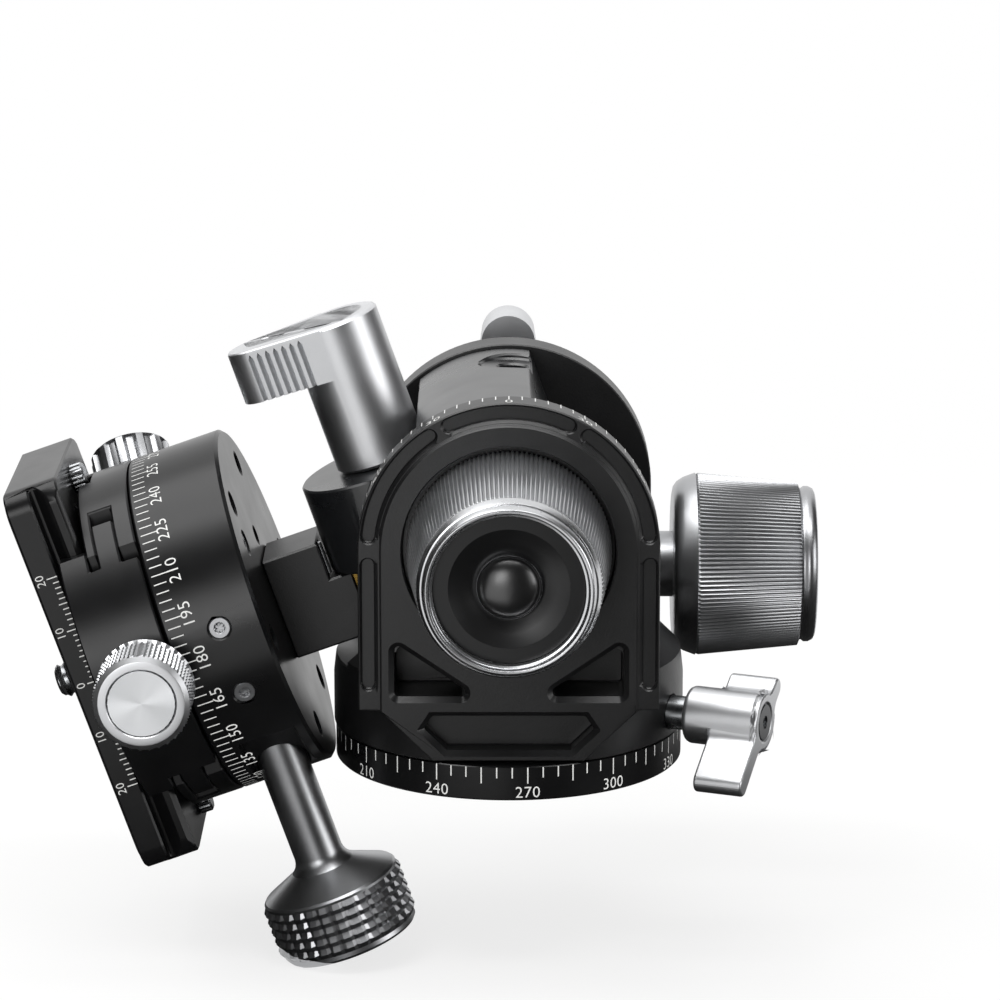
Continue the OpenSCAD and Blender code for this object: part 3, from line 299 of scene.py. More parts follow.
def turned_about(material, point, axis):
    """Lets a finish shine as lathe marks do, in rings about an axis: the tangent runs round it."""
    tree = material.node_tree
    shader = next(n for n in tree.nodes if n.type == "BSDF_PRINCIPLED")
    place = next(n for n in tree.nodes if n.type == "TEX_COORD").outputs["Object"]
    away = add(tree, "ShaderNodeVectorMath", {"operation": "SUBTRACT", 1: tuple(point)}, {0: place})
    round_it = add(tree, "ShaderNodeVectorMath", {"operation": "CROSS_PRODUCT", 0: tuple(axis)},
                   {1: away.outputs[0]})
    even = add(tree, "ShaderNodeVectorMath", {"operation": "NORMALIZE"}, {0: round_it.outputs[0]})
    tree.links.new(even.outputs[0], shader.inputs["Tangent"])
    return material


# Black anodised aluminium, bead blasted: a deep even black with a soft sheen and a fine grain.
# The grain is about 0.1 mm; it is drawn at 0.35 mm, or it wouldn't show.
black_casting = surface("black_anodised_blasted", "#0d0d0e", "#161617", 0.0, (0.36, 0.42), 0.35, 0.035,
                        ior=1.58)
# The same, turned on a lathe before it was dyed: smoother, with longer highlights
black_turned = surface("black_anodised_turned", "#0a0a0b", "#111112", 0.0, (0.27, 0.33), 0.4, 0.006, ior=1.44)
# Dark grey anodised rotor, polished before it was dyed: smooth broad highlights
rotor_black = surface("black_anodised_smooth", "#151618", "#1e1f21", 0.0, (0.26, 0.32), 0.5, 0.004, ior=1.75)
# Satin silver anodised aluminium: bright, with soft wide highlights
silver_satin = surface("silver_anodised_satin", "#d2d3d5", "#e0e1e3", 1.0, (0.36, 0.42), 0.25, 0.004)
# Machined silver aluminium: brighter and sharper highlights than the satin
silver_cut = surface("silver_aluminium_cut", "#c6c7c9", "#d9dadc", 1.0, (0.24, 0.30), 0.4, 0.002)
# Grey anodised knurled aluminium: a darker silver with small glints on its teeth
grey_knurl = surface("grey_anodised_knurled", "#a4a5a7", "#b6b7b9", 1.0, (0.30, 0.37), 0.3, 0.004)
# Silver-grey anodised fluted aluminium of the front knob: one thin highlight to a flute
flute_grey = surface("silver_grey_fluted", "#c6c7c9", "#d6d7d9", 1.0, (0.28, 0.34), 0.3, 0.003)
# Dark grey anodised head of the wing knob's screw, turned smooth
dark_grey = surface("dark_grey_anodised", "#47484a", "#545557", 1.0, (0.28, 0.35), 0.4, 0.003)
# Blasted stainless steel of the drum's side screws: an even light grey without hard highlights
blasted_steel = surface("blasted_steel", "#b2b3b5", "#c3c4c6", 1.0, (0.46, 0.54), 0.2, 0.004)
# Bright steel of screws and shafts: ground, with small bright highlights
steel = surface("steel_ground", "#8e9092", "#b4b6b8", 1.0, (0.20, 0.32), 0.3, 0.004)
# Bearing bronze: warm, dull brown-gold with a machined grain
bronze = surface("bearing_bronze", "#8a6a3a", "#a98549", 1.0, (0.30, 0.42), 0.4, 0.006)
# Brass of the gear wheels and pads: a clear yellow metal with a machined grain
brass = surface("brass_machined", "#b08d45", "#c7a557", 1.0, (0.24, 0.34), 0.4, 0.004)
# Acetal washers: milky white plastic, slightly shiny
acetal = surface("acetal_washer", "#d9d7cf", "#e6e4dc", 0.0, (0.38, 0.46), 0.6, 0.003)
# Rubber pads: matt black, with a fine pebbled skin
rubber = surface("rubber_pad", "#1b1b1b", "#262626", 0.0, (0.62, 0.74), 0.45, 0.03)
# Moulded polycarbonate dish of the front knob: near-black with a smooth shine
dish_plastic = surface("gloss_dish_plastic", "#0c0c0d", "#121213", 0.0, (0.30, 0.36), 0.5, 0.004)
# The polished dome in its middle: the same black with a stronger shine
dome_plastic = surface("gloss_dome_plastic", "#0a0a0b", "#101011", 0.0, (0.27, 0.31), 0.6, 0.002, ior=1.9)
# White silk-screen ink of the scales: flat, with slightly uneven cover
white_ink = surface("white_scale_ink", "#d4d4d2", "#ececea", 0.0, (0.5, 0.6), 0.2, 0.004, patch=2.0)
# Spun aluminium disc: lathe marks too fine to see, which throw fan-shaped highlights
spun_disc = turned_about(
    surface("spun_aluminium_disc", "#ccced0", "#dcdddf", 1.0, (0.17, 0.22), 0.3, 0.002, turning=0.95),
    CLAMP @ Vector((0, 0, 0)), (CLAMP.to_3x3() @ Vector((0, 0, 1))).normalized())


# The foot and the yoke

def window_edges(piece):
    """Wide chamfers round the front plate's windows and tray, narrow ones on its raised face and pockets."""
    only(piece)
    bpy.ops.object.mode_set(mode="EDIT")
    face_half = 22.3
    pocket_y = -27.8
    pocket_half = 23.1

    def middle_of(edge):
        a, b = (v.co for v in edge.verts)
        return (a + b) / 2

    def lies_at(edge, y):
        return all(abs(v.co.y - y) < 0.02 for v in edge.verts)

    def on_outline(edge):
        if not lies_at(edge, PLATE_FACE_Y) or edge.calc_face_angle(0) < math.radians(30):
            return False
        middle = middle_of(edge)
        in_window = 17.8 < middle.z < 26.95 and 7.5 < abs(middle.x) < 20.0
        in_tray = 8.1 < middle.z < 14.5 and abs(middle.x) < 14.9
        return in_window or in_tray

    def on_arch(middle, half, arch_low, side_low, side_high):
        arch = abs(math.hypot(middle.x, middle.z - TILT_HEIGHT) - half) < 0.1 and middle.z > arch_low
        side = abs(abs(middle.x) - half) < 0.05 and side_low < middle.z < side_high
        return arch or side

    def on_face(edge):
        along = on_arch(middle_of(edge), face_half, TILT_HEIGHT, 0, 44)
        return along and lies_at(edge, PLATE_FACE_Y) and edge.is_convex

    def on_pocket(edge):
        along = on_arch(middle_of(edge), pocket_half, 44, 20, 42)
        return along and lies_at(edge, pocket_y) and edge.is_convex

    for test, width in ((on_outline, 0.95), (on_face, 0.3), (on_pocket, 0.5)):
        pick_edges(piece, test)
        bpy.ops.mesh.bevel(offset=width, offset_type="OFFSET", segments=1, affect="EDGES",
                           clamp_overlap=False, loop_slide=False)
    bpy.ops.mesh.select_mode(type="VERT")
    bpy.ops.object.mode_set(mode="OBJECT")


casting("base_disc", "foot", black_turned, "black_anodised", 0.15)
casting("base_pad", "foot", rubber, "rubber", 0.2)
casting("yoke", "yoke_body", black_casting, "black_anodised", 0.22, shape=window_edges)
casting("rear_cover", "yoke_body", black_turned, "black_anodised", 0.3)
casting("rotor", "rotor_body", rotor_black, "black_anodised", 0.35)
casting("arm", "pan_body", black_casting, "black_anodised", 0.35)
casting("pan_base", "pan_body", black_turned, "black_anodised", 0.35)
casting("turntable", "table", black_turned, "black_anodised", 0.3)
casting("jaw", "jaw_body", black_turned, "black_anodised", 0.3)
casting("plate", "table", black_turned, "black_anodised", 0.35)
casting("plate_pad", "table", rubber, "rubber", 0.06)
casting("side_screws", "pan_body", blasted_steel, "steel", 0.12)


# Knobs

def arc(middle, radii, angles):
    """Points of a round stretch of an outline, about its middle."""
    turns = [math.radians(a) for a in angles]
    return [(middle[0] + radii[0] * math.cos(a), middle[1] + radii[1] * math.sin(a)) for a in turns]


def front_knob():
    """The front knob: a grip with a flat land and a narrow valley in each of 132 flutes, rings and a dish."""
    around = 4 * 132
    grip = turned("front_knob_grip", [(5, 26.4), (17.1, 26.4), (17.7, 27.0), (17.7, 30.5), (15.7, 52.0),
                                      (15.5, 52.4), (12.85, 52.4), (12.85, 51.0)], around)
    press(grip, lambda a, z: step_at(a, around) % 4 >= 2, 30.5, 52.1, 0.976)
    press(grip, lambda a, z: step_at(a, around) % 4 >= 2, 26.5, 30.6, 0.978)
    smooth(grip, 25)
    settle(grip, FRONT_KNOB, "front_drive", flute_grey, "grey_alloy", "front_knob")
    # the bright double ring round the dish
    ring = turned("front_knob_bezel", [(12.85, 52.4), (15.5, 52.4), (15.5, 52.9), (14.95, 54.3),
                                       (14.62, 54.35), (14.6, 54.9), (14.2, 55.85), (13.95, 56),
                                       (13.55, 55.95), (13.3, 55.5), (13.25, 55.1), (12.85, 55.0)],
                  256, ring=True)
    soften(ring, 0.06, 2, 25)
    settle(ring, FRONT_KNOB, "front_drive", silver_cut, "silver_alloy", "front_knob_ring")
    # the dark dish, with its hollow cone
    dish = turned("front_knob_hollow", [(12.85, 51.0), (12.85, 53.3), (12.75, 53.4), (10.25, 53.4),
                                        (10.12, 53.33), (8.0, 52.55), (5.75, 51.7), (5.6, 51.6),
                                        (5.55, 51.0)], 192)
    smooth(dish, 25)
    settle(dish, FRONT_KNOB, "front_drive", dish_plastic, "dish_plastic", "front_knob_dish")
    # the dome in its middle, in a thin bright rim
    dome_radius = 5.3
    crown = arc((0, 52.0), (dome_radius, 2.4), range(0, 90, 6))
    middle = turned("front_knob_dome", [(dome_radius, 51.2)] + crown, 128)
    smooth(middle, 40)
    settle(middle, FRONT_KNOB, "front_drive", dome_plastic, "dish_plastic")
    rim = turned("front_knob_rim", [(dome_radius, 51.4), (5.62, 51.4), (5.62, 52.2), (5.46, 52.36),
                                    (dome_radius, 52.25)], 128, ring=True)
    smooth(rim, 60)
    settle(rim, FRONT_KNOB, "front_drive", silver_cut, "silver_alloy")


front_knob()


def side_knob():
    """The knurled side knob: a smooth rounded back, straight knurling and a bright rim."""
    around = 4 * 128
    back = [(6.05, 26.3), (6.05, 30.2), (13.2, 30.2), (14.3, 30.4), (15.2, 31.0), (16.0, 32.2), (16.6, 33.8),
            (16.8, 34.4), (16.55, 34.55)]
    end = [(15.05, 53.2), (14.3, 53.5), (14.0, 53.7), (14.0, 54.0), (14.35, 54.4), (14.35, 55.2),
           (13.95, 56.0), (13.4, 56.3), (11.2, 56.3), (10.7, 56.0), (10.5, 55.6), (10.5, 55.0)]
    grip = turned("side_knob_grip", back + [(16.75, 35.0)] + end, around)
    press(grip, lambda a, z: step_at(a, around) % 4 in (1, 2, 3), 34.9, 53.3, 0.982)
    press(grip, lambda a, z: step_at(a, around) % 4 == 2, 34.9, 53.3, 0.99)
    smooth(grip, 50)
    settle(grip, SIDE_KNOB, "side_drive", grey_knurl, "grey_alloy", "side_knob")
    cap = turned("side_knob_end", [(10.5, 55.1), (10.5, 55.9), (10.3, 56.0), (4.0, 55.9), (1.0, 55.85)], 128)
    soften(cap, 0.06)
    settle(cap, SIDE_KNOB, "side_drive", black_turned, "black_anodised", "side_knob_cap")


side_knob()


def clamp_knob():
    """The small clamp knob: rows of slanting diamond teeth, a bevelled ring and a spun disc."""
    around = 64
    low = 35.9
    row = 0.93
    rows = 11
    radius = 8.5
    grip = turned("clamp_knob_grip", [(5.5, 31.35), (5.5, 35.0), (7.9, 35.0), (radius, 35.5)]
                  + [(radius, low + row * i) for i in range(rows)]
                  + [(8.2, 45.4), (7.4, 45.95), (7.2, 46.0), (6.1, 46.0), (5.95, 45.85), (5.85, 44.95)],
                  around)
    press(grip, lambda a, z: (step_at(a, around) + round((z - low) / row)) % 2 == 1, 35.8, 45.25, 0.92)
    only(grip)
    bpy.ops.object.mode_set(mode="EDIT")
    pick(grip, lambda p: 35.8 < p.z < 45.25 and (p.x ** 2 + p.y ** 2) ** 0.5 > 7)
    bpy.ops.mesh.quads_convert_to_tris(quad_method="SHORTEST_DIAGONAL")
    bpy.ops.object.mode_set(mode="OBJECT")
    smooth(grip, 20)
    settle(grip, CLAMP, "clamp_drive", silver_satin, "silver_alloy", "clamp_knob")
    disc = turned("clamp_knob_disc", [(5.8, 44.95), (5.8, 45.75), (5.7, 45.85), (3.0, 45.87), (0.4, 45.9)],
                  128)
    smooth(disc, 30)
    settle(disc, CLAMP, "clamp_drive", spun_disc, "silver_alloy", "clamp_disc")


clamp_knob()


def pan_knob():
    """The pan lock's stem and its head with five rows of small pyramids."""
    around = 128
    rows = 5
    low = 49.95
    step = 9.2 / (2 * rows)
    head = [(12.9, low + step * i) for i in range(2 * rows + 1)]
    grip = turned("pan_knob_grip", [(2.5, 18.4), (3.9, 18.4), (4.4, 18.9), (4.4, 43.5), (4.55, 44.2),
                                    (4.9, 45.0), (5.7, 45.9), (7.2, 46.7), (9.6, 47.9), (12.0, 49.1),
                                    (12.35, 49.5)]
                  + head + [(12.4, 59.9), (12.0, 60.4), (11.5, 60.5), (1.0, 60.5)], around)
    press(grip, lambda a, z: step_at(a, around) % 4 == 0 or round((z - low) / step) % 2 == 0,
          49.9, 59.2, 0.955)
    smooth(grip, 20)
    settle(grip, PAN_LOCK, "pan_lock", grey_knurl, "grey_alloy", "pan_knob")


pan_knob()


def drag_knob():
    """The fluted drag knob with its rounded end."""
    around = 12 * 12
    grip = turned("drag_knob_grip", [(6.75, 31.4), (7.35, 31.9), (7.35, 37.0)]
                  + arc((5.6, 37.0), (1.75, 1.0), range(15, 91, 15)) + [(1.0, 38.0)], around)
    press(grip, lambda a, z: 3 <= step_at(a, around) % 12 <= 9, 31.3, 37.4, 0.93)
    press(grip, lambda a, z: 4 <= step_at(a, around) % 12 <= 8, 31.3, 37.4, 0.97)
    smooth(grip, 28)
    settle(grip, DRAG, "drag_lock", grey_knurl, "grey_alloy", "drag_knob")


drag_knob()


def groove(along, side, low, high):
    """A square bar on edge with a pointed upper end, on one of the two flat sides of a lever's thumb arm.
    along is its distance from the hub, where the arm narrows towards its tip."""
    point = 0.8
    arm_start = 1.85
    arm_half = 8.04
    arm_slope = 0.2305
    arm_turn = 0.226
    bpy.ops.object.select_all(action="DESELECT")
    bpy.ops.mesh.primitive_cylinder_add(vertices=4, radius=0.56, depth=high - low,
                                        location=(0, 0, (low + high) / 2), enter_editmode=True)
    bar = bpy.context.object
    bpy.ops.object.mode_set(mode="OBJECT")
    bpy.ops.object.transform_apply(location=True)
    bpy.ops.object.mode_set(mode="EDIT")
    pick(bar, lambda p: p.z > high - 0.01)
    bpy.ops.mesh.extrude_region_move(TRANSFORM_OT_translate={"value": (0, 0, point)})
    bpy.ops.mesh.merge(type="CENTER")
    bpy.ops.object.mode_set(mode="OBJECT")
    flat = arm_half - (along - arm_start) * arm_slope
    bar.data.transform(Matrix.Translation((along, side * flat, 0)) @ Matrix.Rotation(-side * arm_turn, 4, "Z")
                       @ Matrix.Diagonal((0.82, 1.5, 1, 1)))
    return bar


def lever(node, name, where, body, length, tip, grooves):
    """An elbow lever with a chamfered top, a dark screw in its hub and, where asked, grooves for the thumb.
    length is from its seat to its top, tip from the hub's middle to the end of the thumb arm."""
    slot_half = 1.75
    slot_start = 8.7
    slot_end = tip - 3.8
    bore_edge = 5.6
    hub_clear = 6
    piece = from_solid(node, name, where)
    bpy.ops.object.mode_set(mode="EDIT")

    def place_on_top(edge):
        a, b = (v.co for v in edge.verts)
        middle = (a + b) / 2
        in_slot = abs(middle.y) < slot_half and slot_start < middle.x < slot_end
        return min(a.z, b.z) > length - 0.01, in_slot, math.hypot(middle.x, middle.y)

    def on_top(edge):
        at_top, in_slot, away = place_on_top(edge)
        return at_top and away > hub_clear and not in_slot

    def on_mouth(edge):
        at_top, in_slot, away = place_on_top(edge)
        return at_top and (in_slot or away < bore_edge)

    for test, width, segments in ((on_top, 0.6, 3), (on_mouth, 0.2, 1)):
        pick_edges(piece, test)
        bpy.ops.mesh.bevel(offset=width, offset_type="OFFSET", segments=segments, affect="EDGES",
                           clamp_overlap=False)
    bpy.ops.mesh.select_mode(type="VERT")
    bpy.ops.object.mode_set(mode="OBJECT")
    if grooves:
        first = 15.3
        pitch = 1.53
        bars = [groove(first - pitch * i, side, length - 11, length - 1.6) for side in (-1, 1)
                for i in range(7)]
        cut(piece, joined(bars, "grooves"))
    shade(piece, 30)
    settle(piece, where, body, silver_satin, "silver_alloy", node)
    # the countersink, finished black as painted shade and a painted dark reflection in the silver lever's
    # bore, and the head of the screw that holds the lever, measured down from its top
    painted_shade_liner = turned(node + "_seat_painted_shade", [(radius, length - down) for radius, down in
                                    ((3.2, 5.8), (3.66, 5.8), (3.66, 2.3), (5.36, 0.24), (5.1, 0.24),
                                     (3.2, 2.55))], 96, ring=True)
    shade(painted_shade_liner)
    settle(painted_shade_liner, where, body, black_turned, "silver_alloy")
    head = turned(node + "_screw", [(radius, length - down) for radius, down in
                                    ((0.5, 5.9), (3.1, 5.9), (3.1, 3.6), (2.9, 3.4), (1.7, 3.4), (1.6, 3.5),
                                     (1.6, 5.0), (0.5, 5.0))], 72)
    shade(head)
    settle(head, where, body, black_turned, "steel")


lever("tilt_lever", "tilt_lever_grip", TILT_LEVER, "tilt_lock", 26.8, 19.5, True)
lever("rear_lever", "rear_lever_grip", REAR_LEVER, "rear_lock", 23.6, 26.5, False)


def wing_knob():
    """The two-winged foot lock, with well rounded wings and a socket screw in its end."""
    piece = from_solid("base_knob", "base_knob_wings", WING_KNOB)
    soften(piece, 0.5, 4, 30)
    settle(piece, WING_KNOB, "foot_lock", silver_satin, "silver_alloy", "base_knob")
    head = turned("base_knob_screw", [(0.9, 48.0), (3.25, 48.0), (3.25, 48.7), (3.1, 48.85), (1.2, 48.85),
                                      (1.1, 48.75), (1.1, 48.2), (0.9, 48.2)], 72, ring=True)
    shade(head)
    settle(head, WING_KNOB, "foot_lock", dark_grey, "steel")


wing_knob()


def thread(name, root, crest, pitch, turns, low):
    """A screw thread: a square profile on edge, wound round Z from a low end."""
    bpy.ops.object.select_all(action="DESELECT")
    bpy.ops.mesh.primitive_circle_add(vertices=4, radius=1, rotation=(math.radians(90), 0, 0))
    ridge = bpy.context.object
    ridge.name = name
    ridge.scale = (crest - root, pitch * 0.46, 1)
    ridge.location = (root, 0, low)
    bpy.ops.object.transform_apply(location=True, rotation=True, scale=True)
    wind = ridge.modifiers.new("wind", "SCREW")
    wind.steps = wind.render_steps = 36
    wind.iterations = turns
    wind.screw_offset = pitch
    wind.use_merge_vertices = True
    bpy.ops.object.modifier_apply(modifier="wind")
    bpy.ops.object.mode_set(mode="EDIT")
    bpy.ops.mesh.select_all(action="SELECT")
    bpy.ops.mesh.fill_holes(sides=0)
    bpy.ops.mesh.normals_make_consistent(inside=False)
    bpy.ops.object.mode_set(mode="OBJECT")
    return smooth(ridge, 30)


def camera_bolt():
    """The camera screw: a coin-slotted head and a bright rolled thread."""
    bolt = turned("camera_screw_bolt", [(1.0, 71.4), (6.7, 71.4), (7.0, 71.7), (7.0, 74.2), (6.7, 74.5),
                                        (2.5, 74.5), (2.5, 81.3), (2.7, 81.5), (2.7, 86.15), (2.25, 86.6),
                                        (0.4, 86.6)], 72)
    bpy.ops.object.select_all(action="DESELECT")
    bpy.ops.mesh.primitive_cube_add(size=1, location=(0, 0, 71.5), scale=(16, 1.2, 2.2))
    cut(bolt, bpy.context.object)
    shade(bolt)
    settle(bolt, CAMERA_BOLT, "camera_bolt", steel, "steel", "camera_screw")
    ridge = thread("camera_screw_thread", 2.66, 3.16, 1.27, 3, 82.0)
    settle(ridge, CAMERA_BOLT, "camera_bolt", silver_cut, "steel")


camera_bolt()


def stop_screws():
    """The two plate stops, with straight knurling round them. The first stands for the solids of both."""
    around = 72
    for side, x, nodes in (("left", -STOP_SCREW_X, ["stop_screws"]), ("right", STOP_SCREW_X, [])):
        piece = turned("stop_screw_" + side, [(1.0, 68.4), (2.1, 68.4), (2.35, 68.6), (2.6, 68.8),
                                              (2.6, 70.7), (2.35, 71.0), (1.0, 71.0)], around)
        press(piece, lambda a, z: step_at(a, around) % 4 >= 2, 68.7, 70.8, 0.93)
        smooth(piece, 25)
        settle(piece, TILTED @ Matrix.Translation((x, 0, 0)), "table", steel, "steel", *nodes)


stop_screws()


# Scales in white ink: thin marks laid just over the metal

INK = 0.03
MARK_WIDTH = 0.2


def mark(width, height):
    """One mark of a scale, with a few steps across so that it can follow a curve."""
    bpy.ops.object.select_all(action="DESELECT")
    bpy.ops.mesh.primitive_grid_add(x_subdivisions=2, y_subdivisions=3, size=1)
    piece = bpy.context.object
    piece.data.transform(Matrix.Diagonal((width, height, 1, 1)))
    return piece


def number(text, height):
    """A number as a flat mesh, its middle at the origin, its digits this many millimetres tall."""
    digit_share = 0.73
    thinning = -0.006
    bpy.ops.object.select_all(action="DESELECT")
    bpy.ops.object.text_add()
    piece = bpy.context.object
    piece.data.body = text
    piece.data.size = height / digit_share
    piece.data.space_character = 1.05
    piece.data.align_x = "CENTER"
    piece.data.resolution_u = 3
    piece.data.offset = thinning * height
    bpy.ops.object.convert(target="MESH")
    low = min(v.co.y for v in piece.data.vertices)
    high = max(v.co.y for v in piece.data.vertices)
    piece.data.transform(Matrix.Translation((0, -(low + high) / 2, 0)))
    return piece


def wrapped(piece, turn, height, radius):
    """Bends a flat mark round Z: turn is its angle from the front, radius(height) the surface under it."""
    for vert in piece.data.vertices:
        level = height + vert.co.y
        at = radius(level) + INK
        angle = math.radians(turn) + vert.co.x / radius(height)
        vert.co = (at * math.sin(angle), -at * math.cos(angle), level)
    return piece


def foot_scale():
    """The foot's dial: a mark every 5 degrees, a long one every 15 and a number every 30."""
    start = 6.1
    top = 6.0
    chamfer_top = 0.3

    def wall(z):
        return DIAL_RADIUS if z > chamfer_top else DIAL_RADIUS - (chamfer_top - z)
    marks = []
    for k in range(72):
        turn = start + 5 * k
        length = 2.9 if k % 3 == 0 else 1.9
        marks.append(wrapped(mark(0.22, length), turn, top - length / 2, wall))
        if k % 6 == 0:
            marks.append(wrapped(number(str((270 + 5 * k) % 360), 2.1), turn, 1.55, wall))
    settle(joined(marks, "foot_scale"), WORLD, "foot", white_ink, "black_anodised")


foot_scale()


def pan_scale():
    """The drum's dial: a mark every 3 degrees, and a long one with its number every 15."""
    start = 16
    top = 59.8
    marks = []
    for k in range(120):
        turn = start + 3 * k
        length = 2.9 if k % 5 == 0 else 2.3
        marks.append(wrapped(mark(MARK_WIDTH, length), turn, top - length / 2, lambda z: DIAL_RADIUS))
        if k % 5 == 0:
            text = number(str((195 + 3 * k) % 360), 2.2)
            marks.append(wrapped(text, turn, 55.9, lambda z: DIAL_RADIUS))
    settle(joined(marks, "pan_scale"), TILTED, "pan_body", white_ink, "black_anodised")


pan_scale()


def plate_scale():
    """The camera plate's scale: a mark a millimetre to 20 each way, and a number every 10."""
    side_y = -19.0
    foot_z = 76.5
    number_z = 79.6
    marks = []
    for k in range(-20, 21):
        length = 1.9 if k % 10 == 0 else 1.5 if k % 5 == 0 else 1.1
        piece = mark(MARK_WIDTH, length)
        piece.data.transform(Matrix.Translation((k, foot_z + length / 2, 0)))
        marks.append(piece)
        if k % 10 == 0:
            text = number(str(abs(k)), 1.6)
            text.data.transform(Matrix.Translation((k, number_z, 0)))
            marks.append(text)
    scale = joined(marks, "plate_scale")
    for vert in scale.data.vertices:
        vert.co = (vert.co.x, side_y - INK, vert.co.y)
    settle(scale, TILTED, "table", white_ink, "black_anodised")


plate_scale()


def tilt_scale():
    """The arch's scale on the rim of the front plate: a mark every 5 degrees and a number every 30."""
    rim_radius = 26.1
    mark_y = -23.45
    number_y = -26.2
    marks = []
    for k in range(-18, 19):
        turn = math.radians(5 * k)
        rim = (Matrix.Translation((0, 0, TILT_HEIGHT)) @ Matrix.Rotation(turn, 4, "Y")
               @ Matrix.Translation((0, 0, rim_radius + INK)))
        piece = mark(MARK_WIDTH, 2.7)
        piece.data.transform(rim @ Matrix.Translation((0, mark_y, 0)))
        marks.append(piece)
        if k % 6 == 0:
            text = number(str(abs(5 * k)), 2.2)
            text.data.transform(rim @ Matrix.Translation((0, number_y, 0)))
            marks.append(text)
    settle(joined(marks, "tilt_scale"), WORLD, "yoke_body", white_ink, "black_anodised")


tilt_scale()


# Finishes of the solids that stay as they are
FINISHES = {
    "thread_bush": steel, "pan_washer": acetal, "pan_retainer": steel, "retainer_screws": steel,
    "front_bush": bronze, "worm_bushes": bronze, "cover_screws": steel, "rear_bush": bronze,
    "lock_pad": brass, "base_knob_stud": steel, "side_worm": steel, "rear_lever_stud": steel,
    "tilt_wheel": brass, "axle_bushes": bronze, "knob_bush": bronze, "front_worm": steel,
    "tilt_lever_stud": steel, "front_wheel": brass, "axle": steel, "limit_pin": steel,
    "arm_screws": steel, "under_screws": steel, "thrust_washer": acetal, "pan_shoe": brass,
    "pan_knob_screw": steel, "jaw_spring": steel, "guide_pins": steel, "clamp_screw": steel,
    "drag_stem": steel,
}
for node, finish in FINISHES.items():
    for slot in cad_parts[node].material_slots:
        slot.material = finish


# Studio: pale floor, white surroundings, soft lamps, and dark cards that only reflections see

MIDDLE = Vector((0, 0, 0.045))


def lamp(name, place, size, power):
    """A soft rectangular lamp that points at the object's middle: metres and watts."""
    light = bpy.data.lights.new(name, "AREA")
    light.shape = "RECTANGLE"
    light.size, light.size_y = size
    light.energy = power
    thing = bpy.data.objects.new(name, light)
    thing.location = place
    thing.rotation_euler = (MIDDLE - Vector(place)).to_track_quat("-Z", "Y").to_euler()
    bpy.context.scene.collection.objects.link(thing)
    return thing


lamp("lamp_front_left", (-0.30, -1.20, 0.28), (0.46, 0.50), 2.2)
lamp("lamp_right", (1.14, -0.46, 0.30), (0.55, 0.60), 2.4)
lamp("lamp_top", (-0.50, 0.14, 0.98), (0.80, 0.85), 5.0)
lamp("lamp_edge", (0.0, -0.34, 1.12), (1.2, 0.22), 5.5)


def seen_directly(tree):
    """One for what the camera, a reflection or glass sees, and nought for what only lights the object."""
    path = add(tree, "ShaderNodeLightPath")
    seen = add(tree, "ShaderNodeMath", {"operation": "MAXIMUM"},
               {0: path.outputs["Is Camera Ray"], 1: path.outputs["Is Transmission Ray"]})
    return add(tree, "ShaderNodeMath", {"operation": "MAXIMUM"},
               {0: seen.outputs[0], 1: path.outputs["Is Glossy Ray"]}).outputs[0]


def studio_world():
    """Dim, even light from all round; what the camera, reflections and glass see of it is white."""
    world = bpy.data.worlds.new("studio")
    bpy.context.scene.world = world
    world.use_nodes = True
    tree = world.node_tree
    tree.nodes.clear()
    dim = add(tree, "ShaderNodeBackground", {"Color": (1, 1, 1, 1), "Strength": 0.6})
    white = add(tree, "ShaderNodeBackground", {"Color": (1, 1, 1, 1), "Strength": 1.0})
    both = add(tree, "ShaderNodeMixShader",
               links={0: seen_directly(tree), 1: dim.outputs[0], 2: white.outputs[0]})
    add(tree, "ShaderNodeOutputWorld", links={"Surface": both.outputs[0]})


studio_world()


FLOOR_LEVEL = -0.033
FELT_RADIUS = 1.4
FELT_CORE = 0.15


def stage_piece(name, place, size, turn, material):
    """A flat sheet of the studio, such as the floor."""
    bpy.ops.object.select_all(action="DESELECT")
    bpy.ops.mesh.primitive_plane_add(size=1, location=place, rotation=turn)
    sheet = bpy.context.object
    sheet.name = name
    sheet.scale = (size[0], size[1], 1)
    bpy.ops.object.transform_apply(location=False, rotation=False, scale=True)
    sheet.data.materials.append(material)
    return sheet


def floor_finish():
    """Pale painted floor: it shows near white, and keeps a soft shadow close to the object."""
    material = surface("pale_floor_paint", "#f4f4f3", "#fafaf9", 0.0, (0.7, 0.8), 3.0, 0.01, patch=80.0)
    tree = material.node_tree
    shader = next(n for n in tree.nodes if n.type == "BSDF_PRINCIPLED")
    out = next(n for n in tree.nodes if n.type == "OUTPUT_MATERIAL")
    place = next(n for n in tree.nodes if n.type == "TEX_COORD").outputs["Object"]
    away = add(tree, "ShaderNodeVectorMath", {"operation": "LENGTH"}, {0: place})
    own = add(tree, "ShaderNodeMapRange", {1: 0.12, 2: 0.5, 3: 0.75, 4: 1.0}, {0: away.outputs["Value"]})
    share = add(tree, "ShaderNodeMath", {"operation": "MULTIPLY"},
                {0: seen_directly(tree), 1: own.outputs[0]})
    white = add(tree, "ShaderNodeEmission", {"Color": (1, 1, 1, 1), "Strength": 1.0})
    both = add(tree, "ShaderNodeMixShader",
               links={0: share.outputs[0], 1: shader.outputs[0], 2: white.outputs[0]})
    tree.links.new(both.outputs[0], out.inputs["Surface"])
    return material


stage_piece("floor", (0, 0, FLOOR_LEVEL), (12, 12), (0, 0, 0), floor_finish())

# Black felt: it gives the dark parts of the metal's reflections
felt = surface("black_felt", "#050505", "#0a0a0a", 0.0, (0.8, 0.9), 3.0, 0.01, patch=80.0)


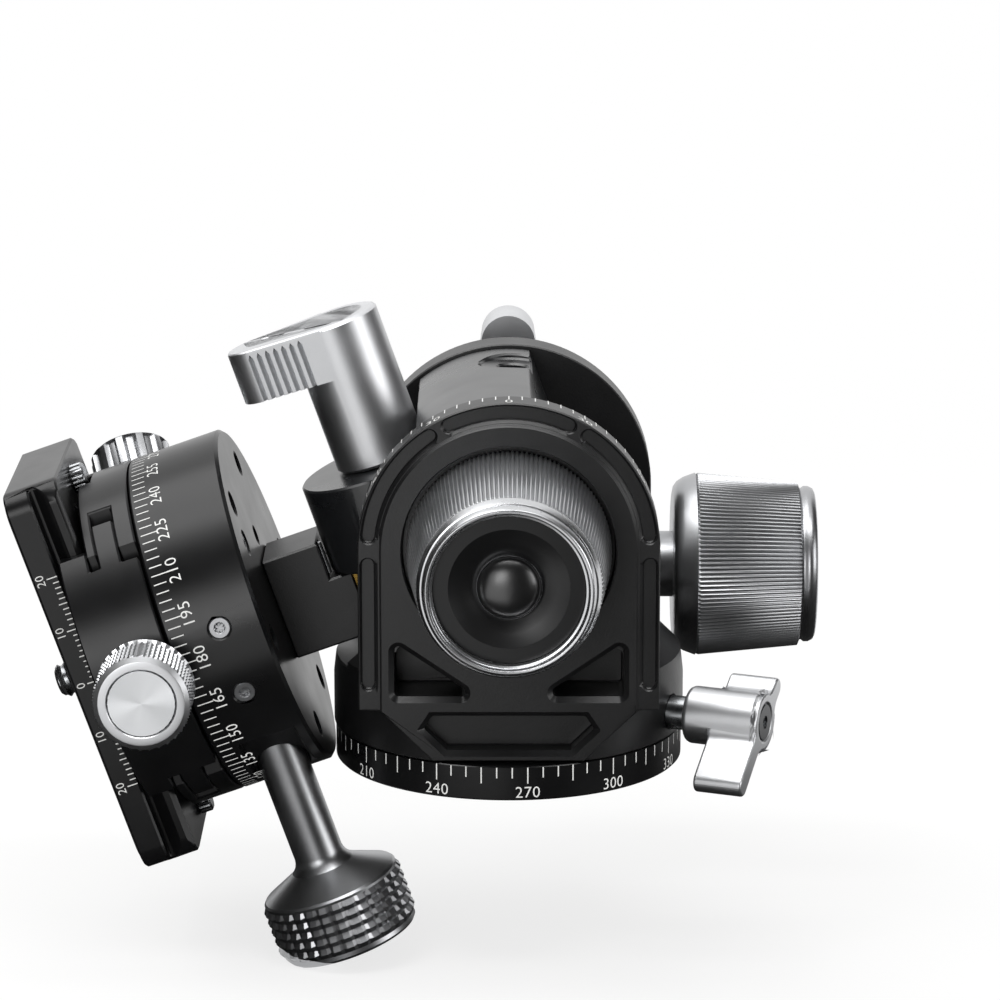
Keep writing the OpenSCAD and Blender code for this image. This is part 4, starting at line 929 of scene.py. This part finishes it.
def felt_round(name, levels, is_open):
    """Black felt round the stage, which only reflections see: a wall, or with one level a floor cloth.
    is_open(turn, z) says where it leaves a gap for the lamps and the white surroundings."""
    bpy.ops.object.select_all(action="DESELECT")
    bpy.ops.mesh.primitive_circle_add(vertices=90, radius=FELT_RADIUS, location=(0, 0, levels[0]),
                                      fill_type="NOTHING" if len(levels) > 1 else "TRIFAN",
                                      enter_editmode=True)
    sheet = bpy.context.object
    sheet.name = name
    for low, high in zip(levels, levels[1:]):
        bpy.ops.mesh.extrude_region_move(TRANSFORM_OT_translate={"value": (0, 0, high - low)})
    if len(levels) == 1:
        bpy.ops.mesh.inset(thickness=FELT_RADIUS - FELT_CORE)
    bpy.ops.mesh.select_mode(type="FACE")
    mesh = bmesh.from_edit_mesh(sheet.data)
    for face in mesh.faces:
        middle = face.calc_center_median()
        near = len(levels) == 1 and math.hypot(middle.x, middle.y) < FELT_CORE
        turn = math.degrees(math.atan2(middle.x, -middle.y))
        face.select_set(not near and is_open(turn, middle.z))
    bmesh.update_edit_mesh(sheet.data)
    bpy.ops.mesh.delete(type="FACE")
    bpy.ops.mesh.select_mode(type="VERT")
    bpy.ops.object.mode_set(mode="OBJECT")
    sheet.data.materials.append(felt)
    sheet.visible_camera = False
    sheet.visible_diffuse = False
    sheet.visible_shadow = False


felt_round("felt_wall", [-0.03, 0.72, 1.75],
           lambda turn, z: abs(turn) > 140 or (z < 0.5 and (-44 < turn < -8 or 46 < turn < 90)))
felt_round("felt_low", [-0.031], lambda turn, z: -44 < turn < -2 or turn > 112 or turn < -150)


def camera():
    """The photograph's view: from a little above, through a long lens. Metres and degrees."""
    look_down = 13.6
    lens = bpy.data.cameras.new("photo_camera")
    lens.lens = 161.64
    lens.sensor_width = 36
    lens.clip_start = 0.05
    lens.clip_end = 50
    thing = bpy.data.objects.new("photo_camera", lens)
    thing.location = (-0.00153, -0.7767, 0.23419)
    thing.rotation_euler = (math.radians(90 - look_down), 0, 0)
    bpy.context.scene.collection.objects.link(thing)
    bpy.context.scene.camera = thing


camera()
bpy.context.scene.view_settings.view_transform = "Standard"
